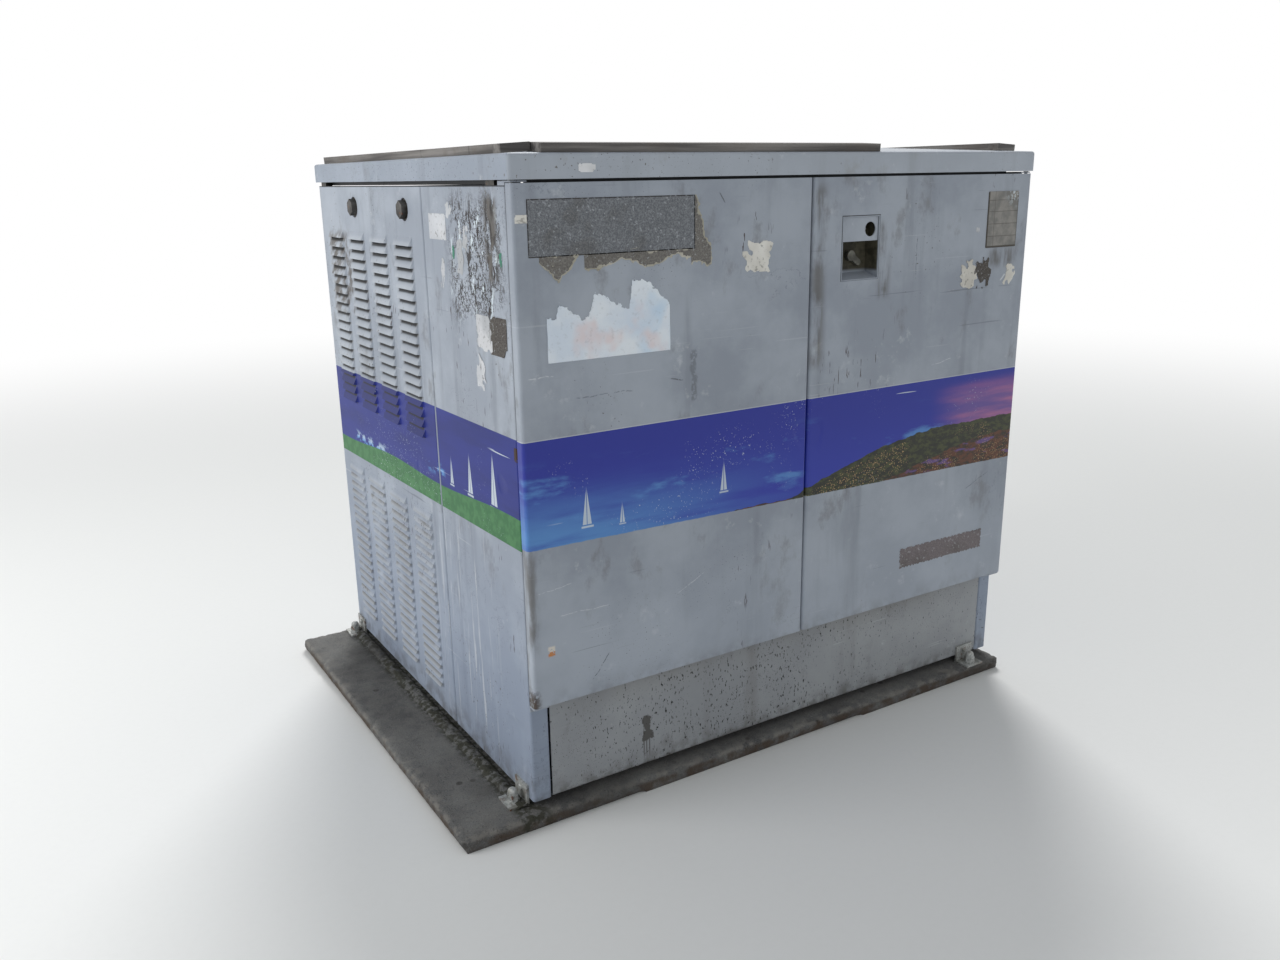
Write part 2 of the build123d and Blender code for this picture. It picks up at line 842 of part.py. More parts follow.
def stiffeners(x0, x1):
    """Three hats from flange to flange, with their feet on the skin."""
    wall = stiffener_t / 2
    foot = y_door + door_skin + wall
    for z in stiffener_zs:
        with BuildSketch(Plane.YZ.offset(x0 + stiffener_end_gap)) as hat:
            with BuildLine():
                Polyline(
                    (foot, z - stiffener_h / 2 - stiffener_foot),
                    (foot, z - stiffener_h / 2),
                    (y_web - wall, z - stiffener_h / 2),
                    (y_web - wall, z + stiffener_h / 2),
                    (foot, z + stiffener_h / 2),
                    (foot, z + stiffener_h / 2 + stiffener_foot),
                )
            trace(line_width=stiffener_t)
        extrude(hat.sketch, amount=x1 - x0 - 2 * stiffener_end_gap)


with BuildPart() as left_door_stiffeners:
    stiffeners(left_door_x0, left_door_x1)
save(left_door_stiffeners, "left_door_stiffeners")

with BuildPart() as right_door_stiffeners:
    stiffeners(right_door_x0, right_door_x1)
save(right_door_stiffeners, "right_door_stiffeners")

# Lock pocket: a sheet box let into the right door, with a sloping sill
y_pocket_face = y_pocket - pocket_t
with BuildPart() as lock_pocket:
    with BuildSketch(Plane.YZ.offset(pocket_x0)):
        with BuildLine():
            Polyline(
                (y_door, pocket_z1 - pocket_t / 2),
                (y_pocket - pocket_t / 2, pocket_z1 - pocket_t / 2),
                (y_pocket - pocket_t / 2, pocket_z0 + pocket_sill_rise + pocket_t / 2),
                (y_door, pocket_z0 + pocket_t / 2),
            )
        trace(line_width=pocket_t)
    extrude(amount=pocket_x1 - pocket_x0)
    for x in (pocket_x0, pocket_x1 - pocket_t):
        with BuildSketch(Plane.YZ.offset(x)):
            with BuildLine():
                Polyline(
                    (y_door, pocket_z1),
                    (y_pocket, pocket_z1),
                    (y_pocket, pocket_z0 + pocket_sill_rise),
                    (y_door, pocket_z0),
                    close=True,
                )
            make_face()
        extrude(amount=pocket_t)
    box(pocket_x0, pocket_x1, y_door - pocket_t, y_door, pocket_z0 - pocket_t, pocket_z1, Mode.SUBTRACT)
    with BuildSketch(Plane.XZ.offset(-y_pocket)):
        with Locations((latch_x, latch_z)):
            Circle(shaft_r + shaft_clear)
    extrude(amount=pocket_t, mode=Mode.SUBTRACT)
save(lock_pocket, "lock_pocket")

# Cover plate in the upper half of the pocket, with the round hole over the locking bolt
with BuildPart() as lock_cover_plate:
    box(
        pocket_x0 + pocket_t + cover_gap, pocket_x1 - pocket_t - cover_gap,
        y_door + cover_recess, y_door + cover_recess + cover_t,
        cover_bottom_z, pocket_z1 - pocket_t - cover_gap,
    )
    with BuildSketch(Plane.XZ.offset(-y_door)):
        with Locations((bolt_hole_x, bolt_hole_z)):
            Circle(bolt_hole_r)
    extrude(amount=-(cover_recess + cover_t), mode=Mode.SUBTRACT)
save(lock_cover_plate, "lock_cover_plate")

# Five-sided locking bolt behind the round hole
with BuildPart() as locking_bolt:
    with BuildSketch(Plane.XZ.offset(-y_pocket_face)):
        with Locations((bolt_hole_x, bolt_hole_z)):
            RegularPolygon(lock_bolt_r, 5)
    extrude(amount=lock_bolt_h)
save(locking_bolt, "locking_bolt")

# Latch handle: lever and hub in the pocket, on a shaft through its back wall
y_hub = y_pocket_face - hub_gap
with BuildPart() as latch_handle:
    with BuildSketch(Plane.XZ.offset(-y_hub)):
        with Locations((latch_x, latch_z)):
            Circle(hub_r)
    extrude(amount=hub_h + lever_t)
    with BuildSketch(Plane.XZ.offset(-y_hub + hub_h)):
        with BuildLine():
            arm = PolarLine((latch_x, latch_z), lever_l - lever_w / 2, lever_angle)
        trace(line_width=lever_w)
        with Locations(arm @ 1):
            Circle(lever_w / 2)
    extrude(amount=lever_t)
    with BuildSketch(Plane.XZ.offset(-y_hub)):
        with Locations((latch_x, latch_z)):
            Circle(shaft_r)
    extrude(amount=-(y_cam1 + shaft_over - y_hub))
save(latch_handle, "latch_handle")

# Latch cam: a disc with two spiral slots that move the rods by the same amount per degree
def spiral(start_angle):
    """Centre line of one slot, its radius growing evenly with the angle."""
    for step in range(spiral_steps + 1):
        angle = radians(start_angle + cam_turn * step / spiral_steps)
        radius = cam_r0 + rod_travel * step / spiral_steps
        yield (latch_x + radius * cos(angle), latch_z + radius * sin(angle))


slot_r = cam_pin_r + cam_slot_clear
with BuildPart() as latch_cam:
    with BuildSketch(Plane.XZ.offset(-y_cam1)):
        with Locations((latch_x, latch_z)):
            Circle(cam_r)
            Circle(shaft_r + shaft_clear, mode=Mode.SUBTRACT)
        for start_angle in (90, 270):
            route = list(spiral(start_angle))
            with BuildLine():
                Spline(*route)
            trace(line_width=2 * slot_r, mode=Mode.SUBTRACT)
            with Locations(route[0], route[-1]):
                Circle(slot_r, mode=Mode.SUBTRACT)
    extrude(amount=cam_t)
save(latch_cam, "latch_cam")


# Lock rods: flat bars with a pin that rides in the cam
def lock_rod(pin_z, tip_z):
    """A bar from just past its pin to its tip, and the pin."""
    end_z = pin_z + (rod_w / 2 if tip_z < pin_z else -rod_w / 2)
    with Locations((latch_x, (y_rod0 + y_rod1) / 2, (end_z + tip_z) / 2)):
        Box(rod_w, rod_t, abs(tip_z - end_z))
    with BuildSketch(Plane.XZ.offset(-y_rod1)) as pin:
        with Locations((latch_x, pin_z)):
            Circle(cam_pin_r)
    extrude(pin.sketch, amount=-(cam_gap + cam_t + pin_over))


with BuildPart() as upper_rod:
    lock_rod(latch_z + cam_r0, z_rail - rod_end_gap)
save(upper_rod, "upper_rod")

with BuildPart() as lower_rod:
    lock_rod(latch_z - cam_r0, sill_z + rod_end_gap)
save(lower_rod, "lower_rod")


# Guides that carry the rods and slide bolts on the stiffeners
def guide(x, width, z0, z1):
    """A block on a stiffener's web with a slot for a flat bar."""
    slot_half = width / 2 + guide_clear
    outer_half = slot_half + guide_wall
    box(x - outer_half, x + outer_half, y_web, y_rod1 + guide_clear + guide_wall, z0, z1)
    box(x - slot_half, x + slot_half, y_rod0 - guide_clear, y_rod1 + guide_clear, z0, z1, Mode.SUBTRACT)


with BuildPart() as rod_guides:
    for z in (stiffener_zs[0], stiffener_zs[1], stiffener_zs[2] - upper_guide_drop):
        guide(latch_x, rod_w, z - guide_h / 2, z + guide_h / 2)
save(rod_guides, "rod_guides")

slide_top = z_rail - rod_end_gap
slide_bottom = sill_z + rod_end_gap
with BuildPart() as slide_guides:
    for z in (slide_top - slide_guide_in - slide_guide_h, slide_bottom + slide_guide_in):
        guide(slide_x, slide_w, z, z + slide_guide_h)
save(slide_guides, "slide_guides")


# Slide bolts of the left door
def slide_bolt(z0, z1, knob_z):
    """A flat bar with a round knob on its inner face."""
    box(slide_x - slide_w / 2, slide_x + slide_w / 2, y_rod0, y_rod1, z0, z1)
    with BuildSketch(Plane.XZ.offset(-y_rod1)) as knob:
        with Locations((slide_x, knob_z)):
            Circle(slide_knob_r)
    extrude(knob.sketch, amount=-slide_knob_l)


with BuildPart() as left_top_bolt:
    slide_bolt(slide_top - slide_l, slide_top, slide_top - slide_l + slide_knob_in)
save(left_top_bolt, "left_top_bolt")

with BuildPart() as left_bottom_bolt:
    slide_bolt(slide_bottom, slide_bottom + slide_l, slide_bottom + slide_l - slide_knob_in)
save(left_bottom_bolt, "left_bottom_bolt")

# Blank number plate on the right door
with BuildPart() as number_plate:
    with BuildSketch(Plane.XZ.offset(-y_door)):
        with Locations((x_side - plate_side, z_top - plate_drop)):
            RectangleRounded(plate_w, plate_h, plate_corner_r)
    extrude(amount=plate_t)
save(number_plate, "number_plate")

# Hinge brackets: plates above and below each door that hold the pins
z_upper_plate = z_door_top + hinge_end_gap
z_lower_plate = door_bottom_z - lower_plate_drop - lower_plate_t
hinge_front = y_hinge - hinge_boss_r


def bracket_x(side):
    """Left and right limits of a hinge bracket on one side."""
    outer = side * x_side
    inner = side * (x_side - hinge_plate_w)
    return min(outer, inner), max(outer, inner)


def pin_hole(side, z0, height):
    """Bore for a hinge pin."""
    hinge_x = left_hinge_x if side < 0 else right_hinge_x
    with BuildSketch(Plane.XY.offset(z0)) as bore:
        with Locations((hinge_x, y_hinge)):
            Circle(hinge_pin_r + hinge_clear)
    extrude(bore.sketch, amount=height, mode=Mode.SUBTRACT)


with BuildPart() as upper_hinge_brackets:
    for side in (-1, 1):
        x0, x1 = bracket_x(side)
        box(x0, x1, hinge_front, y_front + post_return, z_upper_plate, z_upper_plate + hinge_plate_t)
        box(x0, x1, y_front, y_front + post_return, z_top, z_upper_plate)
        pin_hole(side, z_upper_plate, hinge_plate_t)
save(upper_hinge_brackets, "upper_hinge_brackets")

with BuildPart() as lower_hinge_brackets:
    for side in (-1, 1):
        x0, x1 = bracket_x(side)
        box(x0, x1, hinge_front, y_front, z_lower_plate, z_lower_plate + lower_plate_t)
        box(x0, x1, y_front - hinge_plate_t, y_front, z_lower_plate - lower_leg_h, z_lower_plate)
        pin_hole(side, z_lower_plate, lower_plate_t)
save(lower_hinge_brackets, "lower_hinge_brackets")

# Hinge pins, headed, from each bracket into the door's boss
with BuildPart() as hinge_pins:
    for x in (left_hinge_x, right_hinge_x):
        for face, way, reach in (
            (z_upper_plate + hinge_plate_t, -1, hinge_plate_t + hinge_end_gap + door_skin + hinge_boss_h),
            (z_lower_plate, 1, lower_plate_t + lower_plate_drop + door_skin + hinge_boss_h),
        ):
            with BuildSketch(Plane.XY.offset(face)):
                with Locations((x, y_hinge)):
                    Circle(hinge_pin_r)
            extrude(amount=way * reach)
            with BuildSketch(Plane.XY.offset(face)):
                with Locations((x, y_hinge)):
                    Circle(hinge_head_r)
            extrude(amount=-way * hinge_head_h)
save(hinge_pins, "hinge_pins")

# Bulkhead between the terminal bay and the ventilated bay, with a window for the tank wall
with BuildPart() as bulkhead:
    with BuildSketch(Plane.XZ.offset(-y_tank)):
        with Locations((0, (z_body + sheet + z_top - bulkhead_top_gap) / 2)):
            Rectangle(2 * (x_side - sheet - bend_r), z_top - bulkhead_top_gap - z_body - sheet)
        with Locations((0, (window_z0 + window_z1) / 2)):
            Rectangle(window_w, window_z1 - window_z0, mode=Mode.SUBTRACT)
    extrude(amount=bulkhead_t)
save(bulkhead, "bulkhead")

# Insulating barrier between the high and low voltage sides
with BuildPart() as barrier_plate:
    box(
        seam_x - barrier_t / 2, seam_x + barrier_t / 2,
        y_front + sheet + barrier_gap, y_bulkhead - barrier_gap,
        sill_z + barrier_end_gap, z_rail - barrier_end_gap,
    )
save(barrier_plate, "barrier_plate")

# Transformer tank, welded from plate, with the boss of the switch
y_mid_tank = y_tank + tank_d / 2
with BuildPart() as tank:
    with BuildSketch(Plane((0, y_mid_tank, z_body))):
        RectangleRounded(tank_w, tank_d, tank_edge_r)
    extrude(amount=tank_h)
    with BuildSketch(Plane((0, y_mid_tank, z_body + tank_wall))):
        RectangleRounded(tank_w - 2 * tank_wall, tank_d - 2 * tank_wall, tank_edge_r - tank_wall)
    extrude(amount=tank_h - tank_wall, mode=Mode.SUBTRACT)
    with BuildSketch(Plane.XZ.offset(-y_tank)):
        with Locations((switch_x, switch_z)):
            Circle(switch_hub_r)
    extrude(amount=switch_boss_l)
    with BuildSketch(Plane.XZ.offset(-y_tank + switch_boss_l)):
        with Locations((switch_x, switch_z)):
            Circle(switch_spindle_r + shaft_clear)
    extrude(amount=-switch_bore_l, mode=Mode.SUBTRACT)
save(tank, "tank")

# Core and coils standing in the tank: two yokes and three coils
z_core = z_body + tank_wall
with BuildPart() as core_and_coils:
    with BuildSketch(Plane((0, y_mid_tank, z_core))):
        Rectangle(core_w, yoke_s)
    extrude(amount=yoke_s)
    with BuildSketch(Plane((0, y_mid_tank, z_core + yoke_s))):
        with GridLocations(coil_pitch, yoke_s, 3, 1):
            Circle(coil_r)
    extrude(amount=yoke_gap)
    with BuildSketch(Plane((0, y_mid_tank, z_core + yoke_s + yoke_gap))):
        Rectangle(core_w, yoke_s)
    extrude(amount=yoke_s)
save(core_and_coils, "core_and_coils")

# Tank lid with its bolts and relief valve
lid_x = tank_w / 2 + lid_over
lid_d = tank_d + lid_over
with BuildPart() as tank_lid:
    box(-lid_x, lid_x, y_tank, y_tank + lid_d, z_tank, z_tank + lid_t)
save(tank_lid, "tank_lid")

with BuildPart() as lid_bolts:
    lid_bolt_pitch = 2 * (lid_x - lid_bolt_inset) / (lid_bolt_count - 1)
    with BuildSketch(Plane((0, y_tank + lid_d / 2, z_tank + lid_t))):
        with GridLocations(lid_bolt_pitch, lid_d - 2 * lid_bolt_inset, lid_bolt_count, 2):
            RegularPolygon(lid_bolt_af / 2, 6, major_radius=False)
    extrude(amount=lid_bolt_h)
save(lid_bolts, "lid_bolts")

with BuildPart() as relief_valve:
    with BuildSketch(Plane((relief_x, y_mid_tank, z_tank + lid_t))):
        RegularPolygon(relief_r, 8)
    extrude(amount=relief_h)
    chamfer(relief_valve.faces().sort_by(Axis.Z)[-1].edges(), length=relief_chamfer)
save(relief_valve, "relief_valve")

# Radiators on the two sides of the tank, behind the louvres
fin_x1 = -tank_w / 2 - radiator_gap
header_x1 = -tank_w / 2 - header_s / 2
with BuildPart() as left_radiator:
    with BuildSketch(Plane((fin_x1 - fin_d / 2, y_mid_tank, radiator_z - fin_h / 2))):
        with GridLocations(fin_d, fin_pitch, 1, fin_count):
            Rectangle(fin_d, fin_t)
    extrude(amount=fin_h)
    header_reach = (fin_count - 1) * fin_pitch / 2 + fin_t
    for z in (radiator_z - fin_h / 2 + header_s, radiator_z + fin_h / 2 - header_s):
        with BuildSketch(Plane.XZ.offset(-y_mid_tank)):
            with Locations((header_x1 - header_s / 2, z)):
                Rectangle(header_s, header_s)
        extrude(amount=header_reach, both=True)
        with BuildSketch(Plane.YZ.offset(header_x1)):
            with Locations((y_mid_tank - header_reach + header_s, z), (y_mid_tank + header_reach - header_s, z)):
                Rectangle(header_s, header_s)
        extrude(amount=-tank_w / 2 - header_x1)
save(left_radiator, "left_radiator")

with BuildPart() as right_radiator:
    mirror(left_radiator.part, about=Plane.YZ)
save(right_radiator, "right_radiator")

# High voltage bushings: a flange and a tapered body with one shed
with BuildPart() as hv_bushing:
    with BuildSketch(Plane.XY):
        with BuildLine():
            Polyline(
                (0, 0),
                (bushing_flange_r, 0),
                (bushing_flange_r, -bushing_flange_t),
                (bushing_r + bushing_taper, -bushing_flange_t),
                (bushing_r, -(bushing_l - shed_t) / 2),
                (shed_r, -bushing_l / 2),
                (bushing_r, -(bushing_l + shed_t) / 2),
                (bushing_r - bushing_taper, -bushing_l),
                (0, -bushing_l),
                close=True,
            )
        make_face()
    revolve(axis=Axis.Y)

with BuildPart() as hv_bushings:
    with Locations(*[(x, y_tank, hv_z) for x in hv_xs]):
        add(hv_bushing.part)
save(hv_bushings, "hv_bushings")

# Low voltage bushings and their flat terminals
with BuildPart() as lv_bushings:
    for x in lv_xs:
        with BuildSketch(Plane.XZ.offset(-y_tank)):
            with Locations((x, lv_z)):
                Circle(lv_flange_r)
        extrude(amount=lv_flange_t)
        with BuildSketch(Plane.XZ.offset(-y_tank + lv_flange_t)):
            with Locations((x, lv_z)):
                Circle(lv_r)
        extrude(amount=lv_l - lv_flange_t)
save(lv_bushings, "lv_bushings")

y_spade = y_tank - lv_l
with BuildPart() as lv_terminals:
    for x in lv_xs:
        with Locations((x, y_spade - spade_l / 2, lv_z)):
            Box(spade_t, spade_l, spade_w)
    with BuildSketch(Plane.YZ.offset(lv_xs[0] - spade_t)):
        with Locations((y_spade - spade_l / 4, lv_z), (y_spade - 3 * spade_l / 4, lv_z)):
            RegularPolygon(spade_hole_r, 6)
    extrude(amount=lv_xs[-1] - lv_xs[0] + 2 * spade_t, mode=Mode.SUBTRACT)
save(lv_terminals, "lv_terminals")


# Round gauges on the tank wall
def gauge(x, radius):
    """A round case standing on the wall."""
    with BuildSketch(Plane.XZ.offset(-y_tank)) as case:
        with Locations((x, gauge_z)):
            Circle(radius)
    extrude(case.sketch, amount=gauge_t)


with BuildPart() as oil_level_gauge:
    gauge(gauge_x, gauge_r)
save(oil_level_gauge, "oil_level_gauge")

with BuildPart() as thermometer:
    gauge(thermo_x, thermo_r)
save(thermometer, "thermometer")

# Drain valve with a square plug
with BuildPart() as drain_valve:
    with BuildSketch(Plane.XZ.offset(-y_tank)):
        with Locations((drain_x, drain_z)):
            Circle(drain_r)
    extrude(amount=drain_l)
    with BuildSketch(Plane.XZ.offset(-y_tank + drain_l)):
        with Locations((drain_x, drain_z)):
            Rectangle(drain_r, drain_r)
    extrude(amount=drain_r)
save(drain_valve, "drain_valve")

# Switch handle on its spindle
y_boss = y_tank - switch_boss_l
with BuildPart() as switch_handle:
    with BuildSketch(Plane.XZ.offset(-y_boss + hub_gap)):
        with Locations((switch_x, switch_z)):
            Circle(handle_hub_r)
            Rectangle(switch_bar_l, switch_bar_w)
    extrude(amount=switch_bar_t)
    with BuildSketch(Plane.XZ.offset(-y_boss + hub_gap)):
        with Locations((switch_x, switch_z)):
            Circle(switch_spindle_r)
    extrude(amount=-switch_spindle_l)
save(switch_handle, "switch_handle")

# Ground bar on two posts
with BuildPart() as ground_bar:
    y_bar = y_bulkhead - ground_stand
    ground_z0 = ground_z - ground_h / 2
    box(-ground_l / 2, ground_l / 2, y_bar - ground_w, y_bar, ground_z0, ground_z0 + ground_h)
    with BuildSketch(Plane.XZ.offset(-y_bulkhead)):
        with Locations((-ground_l / 2 + ground_h, ground_z), (ground_l / 2 - ground_h, ground_z)):
            RegularPolygon(ground_post_r, 6)
    extrude(amount=ground_stand)
    with BuildSketch(Plane.XZ.offset(-y_bar)):
        with Locations((0, ground_z)):
            with GridLocations(ground_pitch, ground_h, ground_holes, 1):
                RegularPolygon(ground_hole_r, 6)
    extrude(amount=ground_w, mode=Mode.SUBTRACT)
save(ground_bar, "ground_bar")

# Lifting rails: square tubes behind the louvred panels, bored for the lifting bolts
with BuildPart() as lifting_rails:
    for side in (-1, 1):
        outer = x_side - sheet
        x0, x1 = sorted((side * outer, side * (outer - rail_t)))
        box(x0, x1, y_rail0, y_rail1, lift_z - lift_rail_h / 2, lift_z + lift_rail_h / 2)
        box(
            x0 + rail_wall, x1 - rail_wall,
            y_rail0, y_rail1,
            lift_z - lift_rail_h / 2 + rail_wall, lift_z + lift_rail_h / 2 - rail_wall,
            Mode.SUBTRACT,
        )
    with BuildSketch(Plane.YZ.offset(-x_side)):
        with Locations(*[(y, lift_z) for y in lift_ys]):
            Circle(lift_shank_r + screw_clear)
    extrude(amount=2 * x_side, mode=Mode.SUBTRACT)
save(lifting_rails, "lifting_rails")

with BuildPart() as lifting_bolts:
    for side in (-1, 1):
        seat = Plane(origin=(side * (x_side - sheet), 0, 0), x_dir=(0, 1, 0), z_dir=(side, 0, 0))
        for y in lift_ys:
            with BuildSketch(seat):
                with Locations((y, side * lift_z)):
                    RegularPolygon(lift_af / 2, 6, major_radius=False, rotation=30)
            extrude(amount=lift_head_h)
            with BuildSketch(seat):
                with Locations((y, side * lift_z)):
                    Circle(lift_shank_r)
            extrude(amount=-lift_shank_l)
save(lifting_bolts, "lifting_bolts")

# Anchor brackets: bent flat bar, screwed to the housing and bolted down to the plinth
bracket_low = bracket_screw_z - plinth_h
with BuildPart() as bracket:
    with BuildSketch(Plane.YZ.offset(-bracket_w / 2)):
        with BuildLine():
            Polyline(
                (0, 0),
                (0, bracket_leg),
                (-bracket_t, bracket_leg),
                (-bracket_t, bracket_t),
                (-bracket_foot, bracket_t),
                (-bracket_foot, 0),
                close=True,
            )
        make_face()
    extrude(amount=bracket_w)
    with BuildSketch(Plane.XY):
        with Locations((0, -bracket_bolt_out)):
            Circle(stud_r + anchor_clear)
    extrude(amount=bracket_t, mode=Mode.SUBTRACT)
    with BuildSketch(Plane.XZ):
        with Locations((0, bracket_low)):
            Circle(screw_shank_r + screw_clear)
    extrude(amount=bracket_t, mode=Mode.SUBTRACT)

bracket_places = [Location((-x_side, y, plinth_h), (0, 0, -90)) for y in left_bracket_ys]
bracket_places.append(Location((front_bracket_x, y_front, plinth_h)))
with BuildPart() as anchor_brackets:
    with Locations(*bracket_places):
        add(bracket.part)
save(anchor_brackets, "anchor_brackets")

# Anchor bolts: stud, washer and domed nut
with BuildPart() as anchor_bolt:
    with BuildSketch(Plane.XY):
        Circle(washer_r)
    extrude(amount=washer_t)
    with BuildSketch(Plane.XY.offset(washer_t)):
        RegularPolygon(nut_af / 2, 6, major_radius=False)
    extrude(amount=nut_h)
    dome_z = washer_t + nut_h + dome_neck
    with BuildSketch(Plane.XZ):
        with BuildLine():
            Line((0, dome_z), (0, washer_t))
            Line((0, washer_t), (dome_r, washer_t))
            Line((dome_r, washer_t), (dome_r, dome_z))
            CenterArc((0, dome_z), dome_r, 0, 90)
            Line((0, dome_z + dome_r), (0, dome_z))
        make_face()
    revolve(axis=Axis.Z)
    with BuildSketch(Plane.XY):
        Circle(stud_r)
    extrude(amount=-(bracket_t + anchor_depth - anchor_end_gap))

with BuildPart() as anchor_bolts:
    with Locations(*[(x, y, plinth_h + bracket_t) for x, y in bracket_bolts]):
        add(anchor_bolt.part)
save(anchor_bolts, "anchor_bolts")

# Panel screws: round heads on the brackets and on the two rear returns
with BuildPart() as panel_screw:
    with BuildSketch(Plane.XZ):
        Circle(screw_head_r)
    extrude(amount=screw_head_h)
    chamfer(panel_screw.faces().sort_by(Axis.Y)[0].edges(), length=screw_chamfer)
    with BuildSketch(Plane.XZ):
        Circle(screw_shank_r)
    extrude(amount=-screw_shank_l)

screw_places = [Location((-x_side - bracket_t, y, bracket_screw_z), (0, 0, -90)) for y in left_bracket_ys]
screw_places.append(Location((front_bracket_x, y_front - bracket_t, bracket_screw_z)))
for side in (-1, 1):
    for z in rear_screw_zs:
        screw_places.append(Location((side * (x_side - rear_screw_inset), y_rear, z), (0, 0, 180)))
with BuildPart() as panel_screws:
    with Locations(*screw_places):
        add(panel_screw.part)
save(panel_screws, "panel_screws")
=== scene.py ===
import bmesh
import bpy
from bisect import bisect
from math import cos, pi, radians, sin
from mathutils import Matrix, Vector, noise


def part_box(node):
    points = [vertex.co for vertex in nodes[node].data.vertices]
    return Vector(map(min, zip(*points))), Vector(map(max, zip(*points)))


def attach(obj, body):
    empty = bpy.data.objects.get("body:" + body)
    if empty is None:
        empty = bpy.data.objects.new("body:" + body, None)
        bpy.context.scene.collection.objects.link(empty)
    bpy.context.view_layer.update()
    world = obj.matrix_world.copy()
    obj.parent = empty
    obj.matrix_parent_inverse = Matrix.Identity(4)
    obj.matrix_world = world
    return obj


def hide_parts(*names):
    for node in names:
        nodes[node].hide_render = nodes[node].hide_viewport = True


# Roadside utility cabinet: the housing, its doors and roof come from the frame.
# This script gives them their weathered finishes and adds paper, grime and small parts.
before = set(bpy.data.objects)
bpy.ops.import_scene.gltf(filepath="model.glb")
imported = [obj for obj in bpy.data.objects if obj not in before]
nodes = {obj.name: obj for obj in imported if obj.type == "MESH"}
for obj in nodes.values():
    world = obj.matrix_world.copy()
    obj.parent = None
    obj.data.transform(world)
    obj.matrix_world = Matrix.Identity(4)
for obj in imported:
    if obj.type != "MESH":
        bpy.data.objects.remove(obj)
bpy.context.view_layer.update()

# Places read from the frame, in metres
left_door_low, left_door_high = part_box("left_door")
right_door_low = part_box("right_door")[0]
corner_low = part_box("left_front_panel")[0]
wall_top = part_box("left_louvred_panel")[1][2]
plinth_low, plinth_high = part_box("concrete_plinth")
roof_low, roof_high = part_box("roof_cover")
plate_low, plate_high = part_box("number_plate")
pocket_low, pocket_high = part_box("lock_pocket")
seam_x = (left_door_high[0] + right_door_low[0]) / 2
door_left, door_face, door_foot = left_door_low
door_back = door_face + 0.024
behind_door = door_face + 0.032
side_face, side_front = corner_low[:2]
side_reach = -side_face
roof_ledge_z = wall_top + 0.010
plate_h = plate_high[2] - plate_low[2]
plate_rows = [plate_low[2] + plate_h * share for share in (0.20, 0.42, 0.64, 0.84)]

# The printed film round the housing: its edges rise or fall a little along the wall
film_top = 0.867
film_bottom = 0.631
film_bottom_fall = 0.013
side_film_top = 0.861
side_film_top_rise = 0.006
green_top = 0.676
green_bottom = 0.620
green_top_slope = 0.038
green_bottom_slope = 0.024
film_soft = 0.0006
side_ends = (-0.6, 0.6)
hill_ends = (-0.5, 0.72)

# The film's boats: their places along the wall and their heights; the doors' with their feet
door_boats = ((-0.585, 0.668, 0.085), (-0.500, 0.660, 0.050), (-0.235, 0.684, 0.072))
side_boats = ((-0.245, 0.070), (-0.350, 0.095), (-0.475, 0.120))
side_boats_foot = green_top + 0.014

# The louvre fields of the side walls
louvre_columns = (-0.039, 0.131, 0.301, 0.471)
louvre_half_w = 0.058
louvre_lip_half_w = 0.050
louvre_pitch = 0.0248
upper_louvres = (0.7746, 1.225)
lower_louvres = (0.108, 0.570)

# Bends of the folded sheets, and how far inside its outer skin a sheet still shows the film
door_edge_r = 0.008
side_edge_r = 0.0065
skin_margin = 0.0012
pocket_gap = 0.0022

# Paper stuck to a wall
sheet_lift = 0.0002
sheet_t = 0.00025

# Rays that show the white background instead of the light on the floor and from the world
background_rays = ("Is Camera Ray", "Is Glossy Ray", "Is Transmission Ray")


def rgb(red, green, blue):
    """A colour as it looks on a screen, 0 to 255, made linear."""
    shares = [value / 255 for value in (red, green, blue)]
    return tuple(s / 12.92 if s < 0.04 else ((s + 0.055) / 1.055) ** 2.4 for s in shares) + (1.0,)


class Nodes:
    """A node tree being put together."""

    def __init__(self, tree):
        self.tree = tree

    def plug(self, socket, value):
        """Links a socket, or sets its number or colour."""
        if isinstance(value, bpy.types.NodeSocket):
            self.tree.links.new(value, socket)
        else:
            socket.default_value = value

    def add(self, kind, inputs=None, **settings):
        """A node with its settings and inputs."""
        node = self.tree.nodes.new(kind)
        for key, value in settings.items():
            setattr(node, key, value)
        for key, value in (inputs or {}).items():
            self.plug(node.inputs[key], value)
        return node

    def math(self, operation, *values):
        """One arithmetic step."""
        return self.add("ShaderNodeMath", dict(enumerate(values)), operation=operation).outputs[0]

    def plus(self, one, other):
        """The sum of two values."""
        return self.math("ADD", one, other)

    def minus(self, one, other):
        """One value less another."""
        return self.math("SUBTRACT", one, other)

    def times(self, *values):
        """All the values multiplied."""
        product = values[0]
        for value in values[1:]:
            product = self.math("MULTIPLY", product, value)
        return product

    def either(self, *masks):
        """The strongest of several masks."""
        strongest = masks[0]
        for mask in masks[1:]:
            strongest = self.math("MAXIMUM", strongest, mask)
        return strongest

    def background_ray(self):
        """1 on rays that show the background: the camera's, and those in gloss and glass."""
        rays = self.add("ShaderNodeLightPath")
        return self.either(*[rays.outputs[kind] for kind in background_rays])


